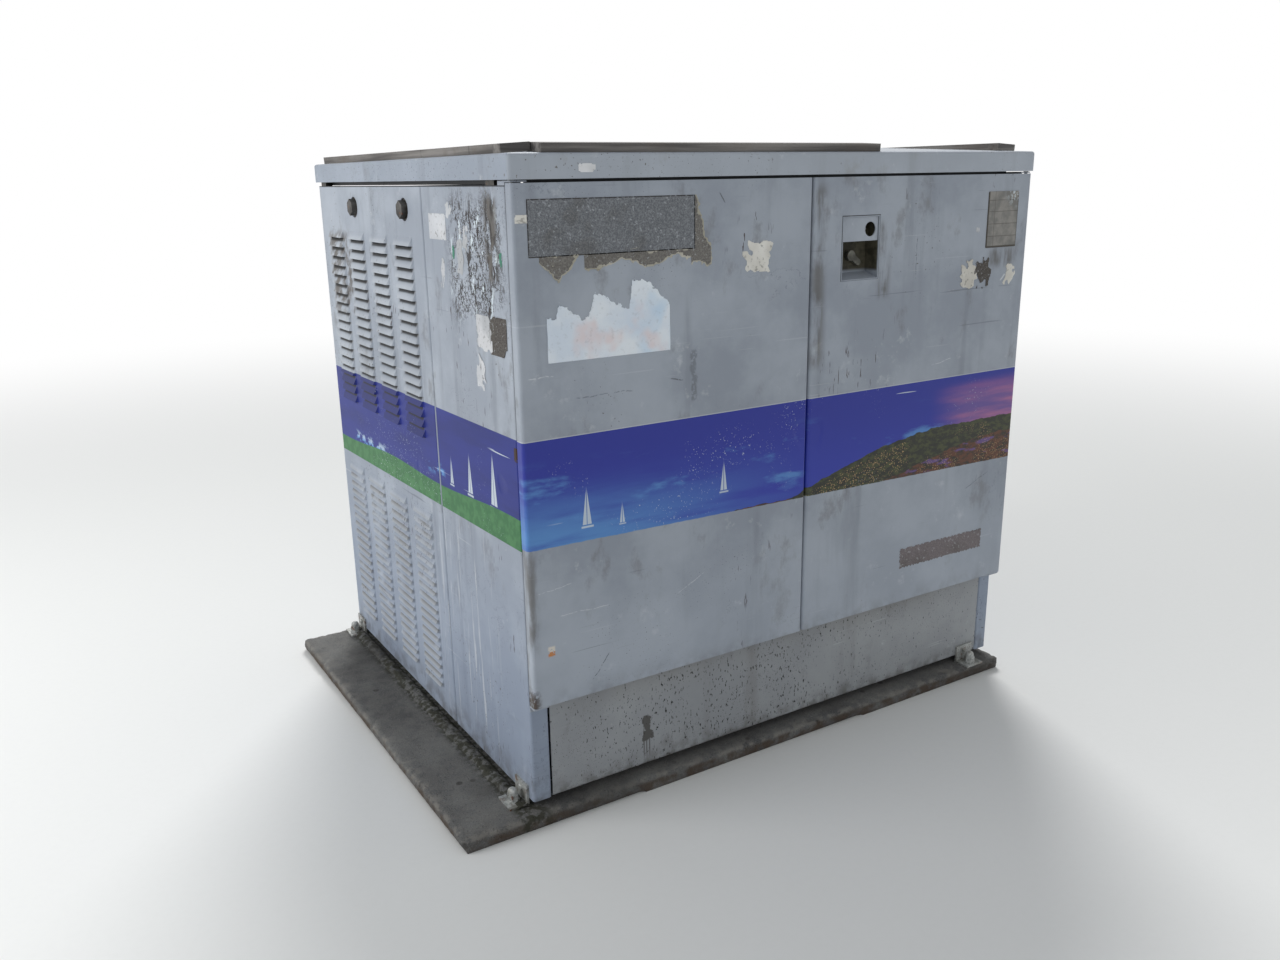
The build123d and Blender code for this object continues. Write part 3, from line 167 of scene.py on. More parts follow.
class Finish(Nodes):
    """A material being put together. Its patterns read Object coordinates, in metres."""

    def __init__(self, name, roughness=0.5, metallic=0.0):
        self.material = bpy.data.materials.new(name)
        self.material.use_nodes = True
        super().__init__(self.material.node_tree)
        self.shader = self.tree.nodes["Principled BSDF"]
        self.shader.inputs["Roughness"].default_value = roughness
        self.shader.inputs["Metallic"].default_value = metallic
        self.place = self.add("ShaderNodeTexCoord").outputs["Object"]
        self.x, self.y, self.z = self.add("ShaderNodeSeparateXYZ", {0: self.place}).outputs

    def ramp(self, value, low, high, top=1.0):
        """0 below low, top above high, and smooth between. A low above its high falls instead."""
        steps = {0: value, 1: low, 2: high, 3: 0.0, 4: top}
        return self.add("ShaderNodeMapRange", steps, interpolation_type="SMOOTHSTEP").outputs[0]

    def within(self, value, low, high, soft):
        """1 between low and high, with soft edges."""
        rising = self.ramp(value, low - soft, low + soft)
        return self.times(rising, self.ramp(value, high + soft, high - soft))

    def patch(self, across, left, right, bottom, top, soft):
        """1 inside a soft-edged oblong on a wall."""
        return self.times(self.within(across, left, right, soft), self.within(self.z, bottom, top, soft))

    def grain(self, scale, detail=4.0, stretch=(1, 1, 1), turn=(0, 0, 0), shift=0.0, rough=0.55):
        """Noise from 0 to 1 at so many grains a metre, stretched and turned as asked."""
        where = {0: self.place, 1: (shift, shift * 0.7, shift * 1.3), 2: turn, 3: stretch}
        turned = self.add("ShaderNodeMapping", where).outputs[0]
        inputs = {"Vector": turned, "Scale": scale, "Detail": detail, "Roughness": rough}
        return self.add("ShaderNodeTexNoise", inputs).outputs[0]

    def flecks(self, scale, detail, low, high, top=1.0, **pattern):
        """Noise cut between two levels, with a strength."""
        return self.ramp(self.grain(scale, detail, **pattern), low, high, top)

    def cells(self, scale, shift=0.0):
        """The distance to the nearest of many scattered points."""
        moved = self.add("ShaderNodeMapping", {0: self.place, 1: (shift, shift, shift)}).outputs[0]
        return self.add("ShaderNodeTexVoronoi", {"Vector": moved, "Scale": scale}).outputs["Distance"]

    def mix(self, mask, under, over):
        """One colour laid over another where the mask is 1."""
        return self.add("ShaderNodeMix", {0: mask, 6: under, 7: over}, data_type="RGBA").outputs[2]

    def base(self, mask, low, high):
        """The ground colour: one tone where the mask is 0, another where it is 1."""
        self.colour = self.mix(mask, low, high)

    def coat(self, tint, *masks):
        """A tint laid over the colour so far, where all the masks are 1."""
        self.colour = self.mix(self.times(*masks), self.colour, tint)

    def bump(self, height, distance, under=None):
        """A bump of that height in metres, over an earlier one if given."""
        inputs = {"Height": height, "Distance": distance, "Strength": 1.0}
        if under is not None:
            inputs["Normal"] = under
        return self.add("ShaderNodeBump", inputs).outputs[0]

    def done(self, normal=None, roughness=None, shine=0.5):
        """The finished material. Its shine is one number, because a linked one isn't exported."""
        self.shader.inputs["Specular IOR Level"].default_value = shine
        self.plug(self.shader.inputs["Base Color"], self.colour)
        if roughness is not None:
            self.plug(self.shader.inputs["Roughness"], roughness)
        if normal is not None:
            self.plug(self.shader.inputs["Normal"], normal)
        return self.material


# The old spray blotch on the lower front panel, and its drips
blotch_x = -0.430
blotch_z = 0.146
blotch_half_w = 0.011
blotch_down = 0.034
blotch_up = 0.030
blotch_drips = (-0.008, -0.001, 0.007)
drip_w = 0.003

# Scratches and scuffs on the doors: where each starts and ends, half its width, its strength
left_pale_strokes = (
    ((-0.706, 0.545), (-0.628, 0.553), 0.0011, 0.8),
    ((-0.654, 0.487), (-0.528, 0.486), 0.0014, 0.7),
    ((-0.704, 0.991), (-0.652, 0.992), 0.0016, 0.8),
    ((-0.360, 0.470), (-0.290, 0.505), 0.0010, 0.8),
)
left_dark_strokes = (
    ((-0.541, 0.373), (-0.580, 0.322), 0.0013, 0.9),
    ((-0.315, 1.012), (-0.317, 0.904), 0.0085, 0.45),
    ((-0.375, 0.955), (-0.345, 0.950), 0.0020, 0.8),
    ((-0.600, 0.942), (-0.470, 0.944), 0.0014, 0.5),
    ((-0.250, 1.330), (-0.236, 1.312), 0.0020, 0.8),
)
right_pale_strokes = (
    ((0.633, 1.099), (0.675, 1.134), 0.0030, 0.9),
    ((0.405, 0.905), (0.470, 0.915), 0.0012, 0.8),
)
right_dark_strokes = (
    ((0.330, 1.215), (0.332, 1.130), 0.0010, 0.7),
    ((0.560, 0.560), (0.640, 0.590), 0.0012, 0.6),
)

# Colours of the housing and its grime; the near black serves for soot and for painted shade
paint_pale = rgb(164, 171, 181)
paint_mid = rgb(145, 152, 163)
paint_deep = rgb(118, 124, 133)
smudge = rgb(112, 112, 112)
grime = rgb(84, 80, 74)
rust = rgb(104, 62, 38)
dark_rust = rgb(58, 38, 28)
primer = rgb(98, 94, 88)
# A pale chalky tone: chalked wear and pale scratches, and also a painted highlight
chalk_and_highlight = rgb(200, 204, 208)
deep_scratch = rgb(80, 83, 88)
# Near black: soot on the lower panel's dark chips, and painted shade in gaps, slots and recesses
soot_and_shade = rgb(20, 20, 21)
film_blue = rgb(50, 62, 166)
film_deep = rgb(42, 52, 148)
side_blue = rgb(40, 50, 130)
side_deep = rgb(34, 43, 112)
film_sky = rgb(92, 146, 204)
film_green = rgb(54, 108, 66)
film_white = rgb(206, 216, 222)
film_hill = rgb(44, 46, 40)
film_olive = rgb(72, 76, 50)
film_brown = rgb(98, 62, 46)
film_pink = rgb(186, 116, 150)
film_violet = rgb(104, 84, 152)


def aged_paint(f, pale=paint_pale, mid=paint_mid, deep=paint_deep):
    """Sheet-steel paint that has clouded, streaked and been smeared over the years."""
    clouds = f.flecks(3.4, 7.0, 0.38, 0.64, rough=0.62)
    streaks = f.flecks(11.0, 5.0, 0.54, 0.74, 0.6, stretch=(1, 1, 0.10), shift=3.0)
    smears = f.flecks(10.0, 7.0, 0.57, 0.70, 0.5, stretch=(1, 1, 0.6), shift=5.0, rough=0.68)
    worn = f.flecks(15.0, 7.0, 0.60, 0.72, 0.45, shift=12.0, rough=0.7)
    f.base(clouds, mid, pale)
    f.coat(deep, streaks)
    f.coat(chalk_and_highlight, worn)
    f.coat(smudge, smears)


def scratch_lines(f, turn, shift, amount):
    """Long thin scratches that run one way, in scattered groups."""
    lines = f.flecks(2.6, 2.0, 0.70, 0.715, stretch=(1, 1, 42), turn=turn, shift=shift)
    groups = f.flecks(3.4, 2.0, 0.50, 0.60, amount, shift=shift + 4.0)
    return f.times(lines, groups)


def stroke(f, start, end, half_w, amount):
    """One scratch or scuff from a place on the doors to another, slightly wavering."""
    run = Vector(end) - Vector(start)
    way = run.normalized()
    off = f.minus(f.x, start[0])
    up = f.minus(f.z, start[1])
    along = f.plus(f.times(off, way.x), f.times(up, way.y))
    beside = f.minus(f.times(off, way.y), f.times(up, way.x))
    waver = f.times(f.minus(f.grain(26.0, 4.0), 0.5), 0.010 + 2 * half_w)
    beside = f.math("ABSOLUTE", f.plus(beside, waver))
    broken = f.flecks(140.0, 3.0, 0.36, 0.50, amount, shift=half_w * 900)
    return f.times(f.ramp(beside, half_w, half_w * 0.4), f.within(along, 0.0, run.length, 0.004), broken)


def scratched(f, strokes, tint):
    """A door's colour with a row of scratches and scuffs over it."""
    f.coat(tint, f.either(*[stroke(f, *each) for each in strokes]))


def scribbles(f, size, shift, width):
    """Thin winding outlines, as left by flaking and by scraping."""
    grain = f.grain(1 / size, 5.0, shift=shift, rough=0.6)
    return f.ramp(f.math("ABSOLUTE", f.minus(grain, 0.5)), width, width * 0.4)


def chips(f, size, shift, low, amount):
    """Small flaked spots, in scattered groups."""
    spots = f.flecks(1 / size, 2.0, 0.665, 0.70, shift=shift)
    groups = f.flecks(2.7, 4.0, low, low + 0.08, amount, shift=shift + 9.0)
    return f.times(spots, groups)


def dashes(f, low):
    """Short upright nicks, as left by things that brush along a wall."""
    nicks = f.flecks(150.0, 2.0, 0.655, 0.69, stretch=(1, 1, 0.16), shift=16.0)
    groups = f.flecks(3.6, 4.0, low, low + 0.10, 0.9, shift=19.0)
    return f.times(nicks, groups)


def wear(f, marks, foot_z):
    """Scratches, chips and the dirt that splashes up from the ground."""
    f.coat(chalk_and_highlight, scratch_lines(f, (0.5, 0.55, 0.0), 1.0, 0.24))
    f.coat(deep_scratch, scratch_lines(f, (-0.4, -0.9, 0.0), 7.0, 0.4))
    f.coat(primer, chips(f, 0.007, 2.0, marks, 0.85))
    f.coat(dark_rust, chips(f, 0.0035, 6.0, marks, 0.9))
    f.coat(dark_rust, dashes(f, marks))
    nicked = f.flecks(4.4, 4.0, marks + 0.02, marks + 0.10, 0.35, shift=31.0)
    f.coat(deep_scratch, scribbles(f, 0.05, 27.0, 0.007), nicked)
    splashes = f.flecks(26.0, 5.0, 0.40, 0.66, 0.55, shift=8.0)
    f.coat(grime, f.ramp(f.z, foot_z + 0.10, foot_z), splashes)


def sheet_bump(f, ripple=0.0016):
    """The slow waves and knocks of a thin steel sheet under the fine skin of its paint."""
    knocks = f.times(f.flecks(7.0, 1.0, 0.66, 0.74, shift=2.0), 0.8)
    waves = f.bump(f.minus(f.grain(2.4, 2.0, shift=11.0), knocks), ripple)
    return f.bump(f.grain(420.0, 2.0), 0.00006, waves)


def housing_paint():
    """Plain blue-grey housing paint."""
    f = Finish("housing_paint")
    aged_paint(f)
    wear(f, 0.56, 0.05)
    roughness = f.flecks(6.0, 4.0, 0.2, 0.8, 0.25, shift=2.0)
    return f.done(sheet_bump(f), f.plus(roughness, 0.38))


def splashed_paint():
    """The lower front panel: housing paint peppered with dark chips, with an old spray blotch and a painted
    shadow under the doors.
    """
    f = Finish("splashed_housing_paint", 0.5)
    aged_paint(f, rgb(158, 161, 164), rgb(146, 149, 153), rgb(126, 126, 126))
    # Painted shadow of the doors: a mottled darker band high on the lower panel
    under_door_shadow = f.times(f.ramp(f.z, 0.20, 0.34), f.flecks(5.0, 5.0, 0.30, 0.60, 0.6, shift=4.0))
    f.coat(rgb(118, 114, 106), under_door_shadow)
    toward_middle = f.times(f.ramp(f.x, -0.75, -0.35, 0.04), f.ramp(f.x, 0.50, -0.05))
    flecked = f.grain(185.0, 5.0, stretch=(1, 1, 0.42), shift=2.0, rough=0.62)
    spots = f.ramp(f.plus(flecked, toward_middle), 0.628, 0.645)
    spots = f.times(spots, f.flecks(11.0, 6.0, 0.38, 0.50, rough=0.65))
    f.coat(soot_and_shade, spots)
    fine = f.flecks(330.0, 2.0, 0.655, 0.675, shift=9.0)
    f.coat(dark_rust, fine, f.flecks(6.0, 4.0, 0.44, 0.56, shift=5.0))
    sway = f.times(f.minus(f.grain(34.0, 6.0, shift=1.0, rough=0.65), 0.5), 0.060)
    blob = f.patch(
        f.plus(f.x, sway), blotch_x - blotch_half_w, blotch_x + blotch_half_w,
        blotch_z - blotch_down, blotch_z + blotch_up, 0.010,
    )
    drips = [f.within(f.x, blotch_x + off, blotch_x + off + drip_w, 0.001) for off in blotch_drips]
    drips = f.times(f.either(*drips), f.within(f.z, 0.075, blotch_z, 0.020))
    blotch = f.either(f.times(f.ramp(blob, 0.3, 0.6), 0.85), f.times(drips, 0.75))
    f.coat(rgb(66, 62, 58), blotch)
    f.coat(chalk_and_highlight, scratch_lines(f, (0.5, 0.55, 0.0), 1.0, 0.5))
    foot = f.times(f.ramp(f.z, 0.10, 0.052), f.flecks(30.0, 5.0, 0.40, 0.62, 0.6, shift=8.0))
    f.coat(grime, foot)
    return f.done(sheet_bump(f), shine=0.35)


def pocket_paint():
    """The lock pocket: paint at its rim and on its sill, dark grime and painted shade in its depth."""
    f = Finish("grimy_shaded_pocket_paint", 0.6)
    deep = f.ramp(f.y, door_face + 0.001, door_face + 0.005)
    over_sill = f.ramp(f.z, pocket_low[2] + 0.014, pocket_low[2] + 0.024)
    # Dark grime with painted shade, laid deep in the pocket above its sill
    grime_and_shade = f.mix(f.flecks(40.0, 6.0, 0.40, 0.60), rgb(50, 48, 38), rgb(78, 75, 62))
    aged_paint(f)
    f.coat(grime_and_shade, deep, over_sill)
    return f.done(sheet_bump(f), shine=0.3)


def slope(f, along, middle, rise, ends):
    """A level that rises evenly from one end of the wall to the other."""
    start, end = ends
    share = f.math("DIVIDE", f.minus(along, (start + end) / 2), end - start)
    return f.plus(f.times(share, rise), middle)


def over(f, level):
    """1 where the wall is over a level."""
    return f.ramp(f.minus(f.z, level), -film_soft, film_soft)


def sail(f, across, place, foot, height, half_w):
    """A slim white triangle, like a distant sail."""
    up = f.math("DIVIDE", f.minus(f.z, foot), height)
    edge = f.times(f.minus(1.0, up), half_w)
    off = f.math("ABSOLUTE", f.minus(across, place))
    inside = f.ramp(f.minus(edge, off), 0.0, film_soft)
    return f.times(inside, f.ramp(up, 0.0, 0.01), f.ramp(up, 1.0, 0.99))


def film_wear(f):
    """The film scuffed through to white."""
    scuffs = f.either(chips(f, 0.004, 12.0, 0.52, 0.8), scratch_lines(f, (0.2, 1.0, 0.0), 14.0, 0.8))
    f.coat(film_white, scuffs)


def boat(f, across, place, foot, height):
    """A small boat far off: two pale sails either side of a mast, on a slip of a hull."""
    main = sail(f, across, place, foot + height * 0.08, height, height * 0.13)
    side = f.minus(across, place)
    mast = f.within(side, -0.0012, 0.0010, 0.0004)
    hull = f.patch(side, -height * 0.16, height * 0.18, foot, foot + height * 0.05, 0.0012)
    split = f.minus(1.0, f.times(mast, 0.8))
    return f.either(f.times(main, split, 0.85), f.times(hull, 0.8))


def door_film(f):
    """The doors' printed film: a blue sky over rolling hills, with an evening glow at one end."""
    haze = f.grain(2.2, 5.0, stretch=(1, 1, 9), shift=1.5)
    f.base(f.ramp(f.z, film_bottom, film_top), film_blue, film_deep)
    low_sky = f.times(f.ramp(f.z, 0.80, film_bottom), f.ramp(f.x, 0.1, door_left), f.ramp(haze, 0.28, 0.56))
    f.coat(film_sky, low_sky)
    wisps = f.flecks(7.0, 6.0, 0.56, 0.72, 0.75, stretch=(1, 1, 3.5), shift=11.0)
    f.coat(film_sky, wisps, f.within(f.z, 0.665, 0.800, 0.03))
    glow = f.times(f.ramp(f.x, 0.40, 0.56), f.ramp(f.z, 0.862, 0.800))
    f.coat(f.mix(f.ramp(haze, 0.35, 0.65), film_pink, film_violet), glow)
    far_wave = f.times(f.math("SINE", f.times(f.x, 5.2)), 0.030)
    far_hill = f.plus(slope(f, f.x, 0.655, 0.19, hill_ends), far_wave)
    ridge = f.times(f.grain(26.0, 6.0, stretch=(1, 1, 0.2), shift=2.5), 0.022)
    woods = f.grain(38.0, 7.0, stretch=(1, 1, 2.2), shift=15.0, rough=0.7)
    far_land = f.mix(f.ramp(woods, 0.44, 0.60), film_hill, film_olive)
    f.colour = f.mix(over(f, f.plus(far_hill, ridge)), far_land, f.colour)
    near_wave = f.times(f.math("SINE", f.times(f.x, -7.5)), 0.020)
    near_hill = f.plus(slope(f, f.x, 0.628, 0.09, hill_ends), near_wave)
    near_land = f.mix(f.ramp(woods, 0.42, 0.62), film_brown, film_hill)
    heather = f.flecks(17.0, 5.0, 0.56, 0.66, 0.7, stretch=(1, 1, 4.0), shift=7.0)
    near_land = f.mix(heather, near_land, film_violet)
    f.colour = f.mix(over(f, f.plus(near_hill, ridge)), near_land, f.colour)
    lit_fields = f.flecks(5.0, 3.0, 0.44, 0.56, shift=6.0)
    on_land = f.minus(1.0, over(f, far_hill))
    lights = f.times(f.ramp(f.cells(230.0), 0.30, 0.20), lit_fields, on_land)
    f.coat(rgb(214, 176, 126), lights, 0.8)
    for place, foot, height in door_boats:
        f.coat(film_white, boat(f, f.x, place, foot, height))
    film_wear(f)


def left_door_marks(f):
    """The left door's own scratches, scuffs and dented, rusty corner."""
    scratched(f, left_pale_strokes, chalk_and_highlight)
    scratched(f, left_dark_strokes, deep_scratch)
    sticker = f.patch(f.x, -0.687, -0.671, 0.402, 0.424, 0.0025)
    sticker = f.times(sticker, f.flecks(150.0, 3.0, 0.36, 0.44, shift=3.0))
    sticker_tone = f.mix(f.ramp(f.z, 0.411, 0.413), rgb(196, 128, 70), rgb(214, 208, 198))
    f.coat(sticker_tone, sticker)
    corner = f.times(f.ramp(f.x, door_left + 0.022, door_left), f.ramp(f.z, 0.345, 0.305))
    corner = f.times(corner, f.flecks(120.0, 5.0, 0.42, 0.54))
    f.coat(dark_rust, corner)
    edge = f.ramp(f.x, door_left + 0.030, door_left + 0.004)
    rubbed = f.times(edge, f.flecks(18.0, 6.0, 0.50, 0.64, 0.7, stretch=(1, 1, 0.3), shift=13.0))
    f.coat(primer, rubbed)


def right_door_marks(f):
    """The right door's stains beside the seam, the pocket and the plate, and a painted shadow in the gap
    round the pocket.
    """
    drips = f.flecks(24.0, 6.0, 0.42, 0.60, stretch=(1, 1, 0.14), shift=6.5, rough=0.65)
    blotches = f.flecks(17.0, 6.0, 0.44, 0.58, stretch=(1, 1, 0.4), shift=16.5)
    seam_stain = f.patch(f.x, seam_x + 0.002, seam_x + 0.036, 0.94, 1.34, 0.016)
    pocket_stain = f.patch(f.x, pocket_high[0], pocket_high[0] + 0.034, 1.085, 1.255, 0.014)
    plate_stain = f.patch(f.x, plate_low[0] + 0.02, plate_high[0], 1.135, 1.178, 0.014)
    stains = f.times(f.either(seam_stain, pocket_stain, plate_stain), f.either(drips, blotches), 0.72)
    f.coat(grime, stains)
    # Painted shadow: a near-black line in the gap round the lock pocket
    pocket_gap_shadow = f.patch(
        f.x, pocket_low[0] - pocket_gap, pocket_high[0] + pocket_gap / 2,
        pocket_low[2] - pocket_gap / 3, pocket_high[2] + pocket_gap, 0.0004,
    )
    f.coat(soot_and_shade, pocket_gap_shadow, 0.85)
    scratched(f, right_pale_strokes, chalk_and_highlight)
    scratched(f, right_dark_strokes, deep_scratch)


def outer_skin(f, past_side, past_front, radius):
    """1 on the outer skin of a folded sheet and round its bend, 0 on its inner skin."""
    past_side = f.math("MAXIMUM", past_side, 0.0)
    past_front = f.math("MAXIMUM", past_front, 0.0)
    reach = f.math("SQRT", f.plus(f.times(past_side, past_side), f.times(past_front, past_front)))
    return f.ramp(reach, radius - skin_margin, radius - skin_margin / 2)


def door_paint(name, own_marks):
    """A door: housing paint with its own marks, and the printed film across its middle."""
    f = Finish(name + "_paint")
    low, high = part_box(name)
    past_left = f.minus(low[0] + door_edge_r, f.x)
    past_right = f.minus(f.x, high[0] - door_edge_r)
    past_front = f.minus(door_face + door_edge_r, f.y)
    on_face = outer_skin(f, f.either(past_left, past_right), past_front, door_edge_r)
    aged_paint(f)
    f.coat(rgb(180, 188, 199), f.ramp(f.z, 0.62, 0.40, 0.30))
    unmarked = f.colour
    own_marks(f)
    f.colour = f.mix(on_face, unmarked, f.colour)
    wear(f, 0.58, door_foot - 0.05)
    foot = f.plus(film_bottom, f.times(f.x, -film_bottom_fall))
    tear = f.times(f.grain(60.0, 3.0), 0.003)
    on_film = f.times(over(f, f.plus(foot, tear)), f.ramp(f.z, film_top, film_top - 0.001))
    # Painted shade on the door's back edge, inside the housing
    back_edge_shade = f.ramp(f.y, door_back - 0.0015, door_back)
    f.coat(soot_and_shade, back_edge_shade, 0.9)
    on_film = f.times(on_film, on_face)
    rim = f.times(f.within(f.z, film_top - 0.0005, film_top + 0.0016, 0.0005), on_face)
    f.coat(chalk_and_highlight, rim, 0.55)
    paint = f.colour
    door_film(f)
    f.colour = f.mix(on_film, paint, f.colour)
    roughness = f.mix(on_film, (0.50, 0.50, 0.50, 1), (0.38, 0.38, 0.38, 1))
    return f.done(f.bump(on_film, 0.0002, sheet_bump(f)), roughness, 0.35)


def flaked(f):
    """Scraped and flaking paint high on the wall's front edge, with rust at the film's corner."""
    wall = f.ramp(f.x, side_face + 0.003, side_face + 0.001)
    area = f.patch(f.y, -0.575, -0.320, 1.085, 1.330, 0.035)
    loose = f.grain(8.0, 5.0, shift=41.0, rough=0.6)
    chipped = f.times(wall, area, f.ramp(loose, 0.43, 0.52))
    lines = f.either(scribbles(f, 0.034, 43.0, 0.026), scribbles(f, 0.018, 47.0, 0.022))
    f.coat(rgb(46, 41, 38), lines, chipped, 0.95)
    flakes = f.flecks(36.0, 5.0, 0.600, 0.612, stretch=(1, 1, 0.5), shift=51.0, rough=0.6)
    f.coat(film_white, flakes, chipped)
    nicks = f.flecks(78.0, 3.0, 0.585, 0.61, stretch=(1, 1, 0.35), shift=53.0)
    f.coat(rgb(44, 38, 36), nicks, chipped, 0.9)
    peel = f.times(wall, f.patch(f.y, -0.556, -0.500, 1.170, 1.335, 0.014))
    peel = f.times(peel, f.flecks(46.0, 6.0, 0.42, 0.48, stretch=(1, 1, 0.35), shift=57.0, rough=0.65))
    mottle = f.flecks(60.0, 5.0, 0.42, 0.58, stretch=(1, 1, 0.4), shift=67.0)
    torn = f.mix(mottle, rgb(46, 43, 41), rgb(96, 92, 88))
    f.coat(torn, peel, 0.95)
    streaked = f.times(wall, f.within(f.y, -0.42, -0.12, 0.08), f.within(f.z, 0.10, 0.60, 0.06))
    fine = f.flecks(85.0, 3.0, 0.60, 0.68, 0.6, stretch=(1, 1, 0.05), shift=61.0)
    f.coat(chalk_and_highlight, streaked, fine)


def side_film(f):
    """The side walls' printed film: a blue sky with boats and low clouds over a green foot."""
    f.base(f.flecks(3.0, 4.0, 0.35, 0.70, stretch=(1, 1, 5), shift=21.0), side_blue, side_deep)
    puffs = f.flecks(34.0, 6.0, 0.46, 0.54, stretch=(1, 1, 1.5), shift=2.0)
    bank = f.times(puffs, f.patch(f.y, 0.20, 0.46, 0.655, 0.684, 0.012))
    puff = f.flecks(30.0, 6.0, 0.50, 0.60, stretch=(1, 1, 2.0), shift=5.0)
    puff = f.times(puff, f.patch(f.y, -0.20, -0.10, 0.700, 0.722, 0.012))
    f.coat(film_sky, f.either(bank, puff))
    f.coat(film_white, bank, f.ramp(f.z, 0.668, 0.686))
    for place, height in side_boats:
        f.coat(film_white, boat(f, f.y, place, side_boats_foot, height))
    green_edge = slope(f, f.y, green_top, -green_top_slope, side_ends)
    ridge = f.times(f.math("SINE", f.times(f.y, 9.0)), 0.006)
    meadow = f.mix(f.flecks(40.0, 6.0, 0.40, 0.62), film_green, rgb(70, 124, 78))
    f.colour = f.mix(over(f, f.plus(green_edge, ridge)), meadow, f.colour)
    film_wear(f)


def in_columns(f, half_w, soft):
    """1 within the louvres' columns."""
    return f.either(*[f.within(f.y, middle - half_w, middle + half_w, soft) for middle in louvre_columns])


def side_paint(name, marks, side):
    """A side wall: housing paint written paler as painted light, dust and painted shade under the louvres,
    and the film with its green foot.
    """
    f = Finish(name)
    # The walls' paint is written paler than the doors': painted light, as the sides catch more light than
    # the front
    aged_paint(f, rgb(171, 178, 188), rgb(151, 158, 169))
    f.coat(rgb(128, 142, 166), f.ramp(f.z, 0.80, 0.20, 0.5))
    if side < 0:
        flaked(f)
    bays = f.math("FRACT", f.math("DIVIDE", f.minus(f.z, upper_louvres[0]), louvre_pitch))
    fields = f.either(f.within(f.z, *upper_louvres, 0.004), f.within(f.z, *lower_louvres, 0.004))
    dust = f.flecks(12.0, 5.0, 0.28, 0.56)
    # Dust and painted shade: darker grey below each louvre lip, within the columns
    dust_and_shade = f.times(in_columns(f, louvre_half_w, 0.006), fields, f.ramp(bays, 0.40, 0.95, 0.85), dust)
    f.coat(grime, dust_and_shade)
    outward = f.times(f.x, side)
    # Painted shadow just under each louvre lip, on the wall
    near_wall = f.ramp(outward, side_reach + 0.0036, side_reach + 0.0012)
    lips = in_columns(f, louvre_lip_half_w, 0.003)
    under_hood_shadow = f.times(lips, fields, near_wall, f.ramp(bays, 0.48, 0.74))
    # Painted highlight on the louvre hoods that stand out from the wall
    hood_top_highlight = f.times(f.ramp(outward, side_reach + 0.002, side_reach + 0.007), 0.35)
    f.coat(chalk_and_highlight, hood_top_highlight)
    if side < 0:
        rear_dust = f.times(f.within(f.y, 0.36, 0.53, 0.02), f.within(f.z, 1.02, 1.235, 0.03))
        rear_dust = f.times(rear_dust, f.flecks(30.0, 6.0, 0.40, 0.60, 0.8, shift=22.0))
        f.coat(rgb(84, 74, 62), rear_dust)
    wear(f, marks, 0.05)
    # Painted shade on the wall behind the doors, inside the housing
    shade_behind_doors = f.ramp(f.z, door_foot - 0.004, door_foot)
    shade_behind_doors = f.times(shade_behind_doors, f.ramp(f.y, behind_door, behind_door - 0.0015))
    f.coat(soot_and_shade, shade_behind_doors, 0.9)
    # Painted shade at the wall's top, in the slot under the roof's ledge
    slot_shade = f.ramp(f.z, wall_top - 0.0030, wall_top - 0.0015, 0.9)
    f.coat(soot_and_shade, slot_shade)
    top = slope(f, f.y, side_film_top, -side_film_top_rise * 2, side_ends)
    foot = slope(f, f.y, green_bottom, -green_bottom_slope, side_ends)
    on_film = f.times(over(f, foot), f.minus(1.0, over(f, top)))
    past_side = f.minus(outward, side_reach - side_edge_r)
    past_front = f.minus(side_front + side_edge_r, f.y)
    on_face = outer_skin(f, past_side, past_front, side_edge_r)
    on_film = f.times(on_film, on_face, f.ramp(outward, side_reach - 0.013, side_reach - 0.009))
    paint = f.colour
    side_film(f)
    f.colour = f.mix(on_film, paint, f.colour)
    # Painted shade on the louvre hoods within the film, to show their relief
    film_hood_shade = f.times(on_film, f.ramp(outward, side_reach + 0.0010, side_reach + 0.0035), 0.45)
    f.coat(rgb(22, 28, 74), film_hood_shade)
    # The painted shadow under the lips is laid over the film too
    f.coat(soot_and_shade, under_hood_shadow, 0.92)
    rust_spot = f.patch(f.y, -0.606, -0.584, 0.820, 0.850, 0.006)
    rust_spot = f.ramp(f.times(rust_spot, f.grain(110.0, 5.0, shift=63.0)), 0.22, 0.34)
    f.coat(dark_rust, rust_spot)
    roughness = f.mix(on_film, (0.52, 0.52, 0.52, 1), (0.42, 0.42, 0.42, 1))
    return f.done(f.bump(on_film, 0.0002, sheet_bump(f)), roughness, 0.18)


def roof_paint():
    """The roof: paler and more bleached than the walls, with dust lying on it and painted shade inside its
    skirt.
    """
    f = Finish("bleached_roof_paint", 0.5)
    aged_paint(f, rgb(154, 163, 176), rgb(140, 149, 162), rgb(118, 125, 135))
    front = f.ramp(f.y, roof_low[1] + 0.006, roof_low[1] + 0.002, 0.30)
    f.coat(chalk_and_highlight, front)
    settled = f.flecks(7.0, 6.0, 0.38, 0.66, 0.6)
    settled = f.times(f.ramp(f.z, roof_low[2] + 0.046, roof_high[2]), settled)
    f.coat(rgb(150, 146, 138), settled)
    f.coat(primer, chips(f, 0.009, 3.0, 0.50, 0.85))
    f.coat(dark_rust, chips(f, 0.004, 13.0, 0.50, 0.9))
    # Painted shade inside the roof's skirt, below its ledge
    inside = f.times(
        f.ramp(f.math("ABSOLUTE", f.x), roof_high[0] - 0.004, roof_high[0] - 0.007),
        f.ramp(f.y, roof_low[1] + 0.004, roof_low[1] + 0.007),
        f.ramp(f.y, roof_high[1] - 0.004, roof_high[1] - 0.007),
        f.ramp(f.z, roof_ledge_z + 0.004, roof_ledge_z + 0.002),
    )
    f.coat(soot_and_shade, inside, 0.9)
    return f.done(sheet_bump(f, 0.003))


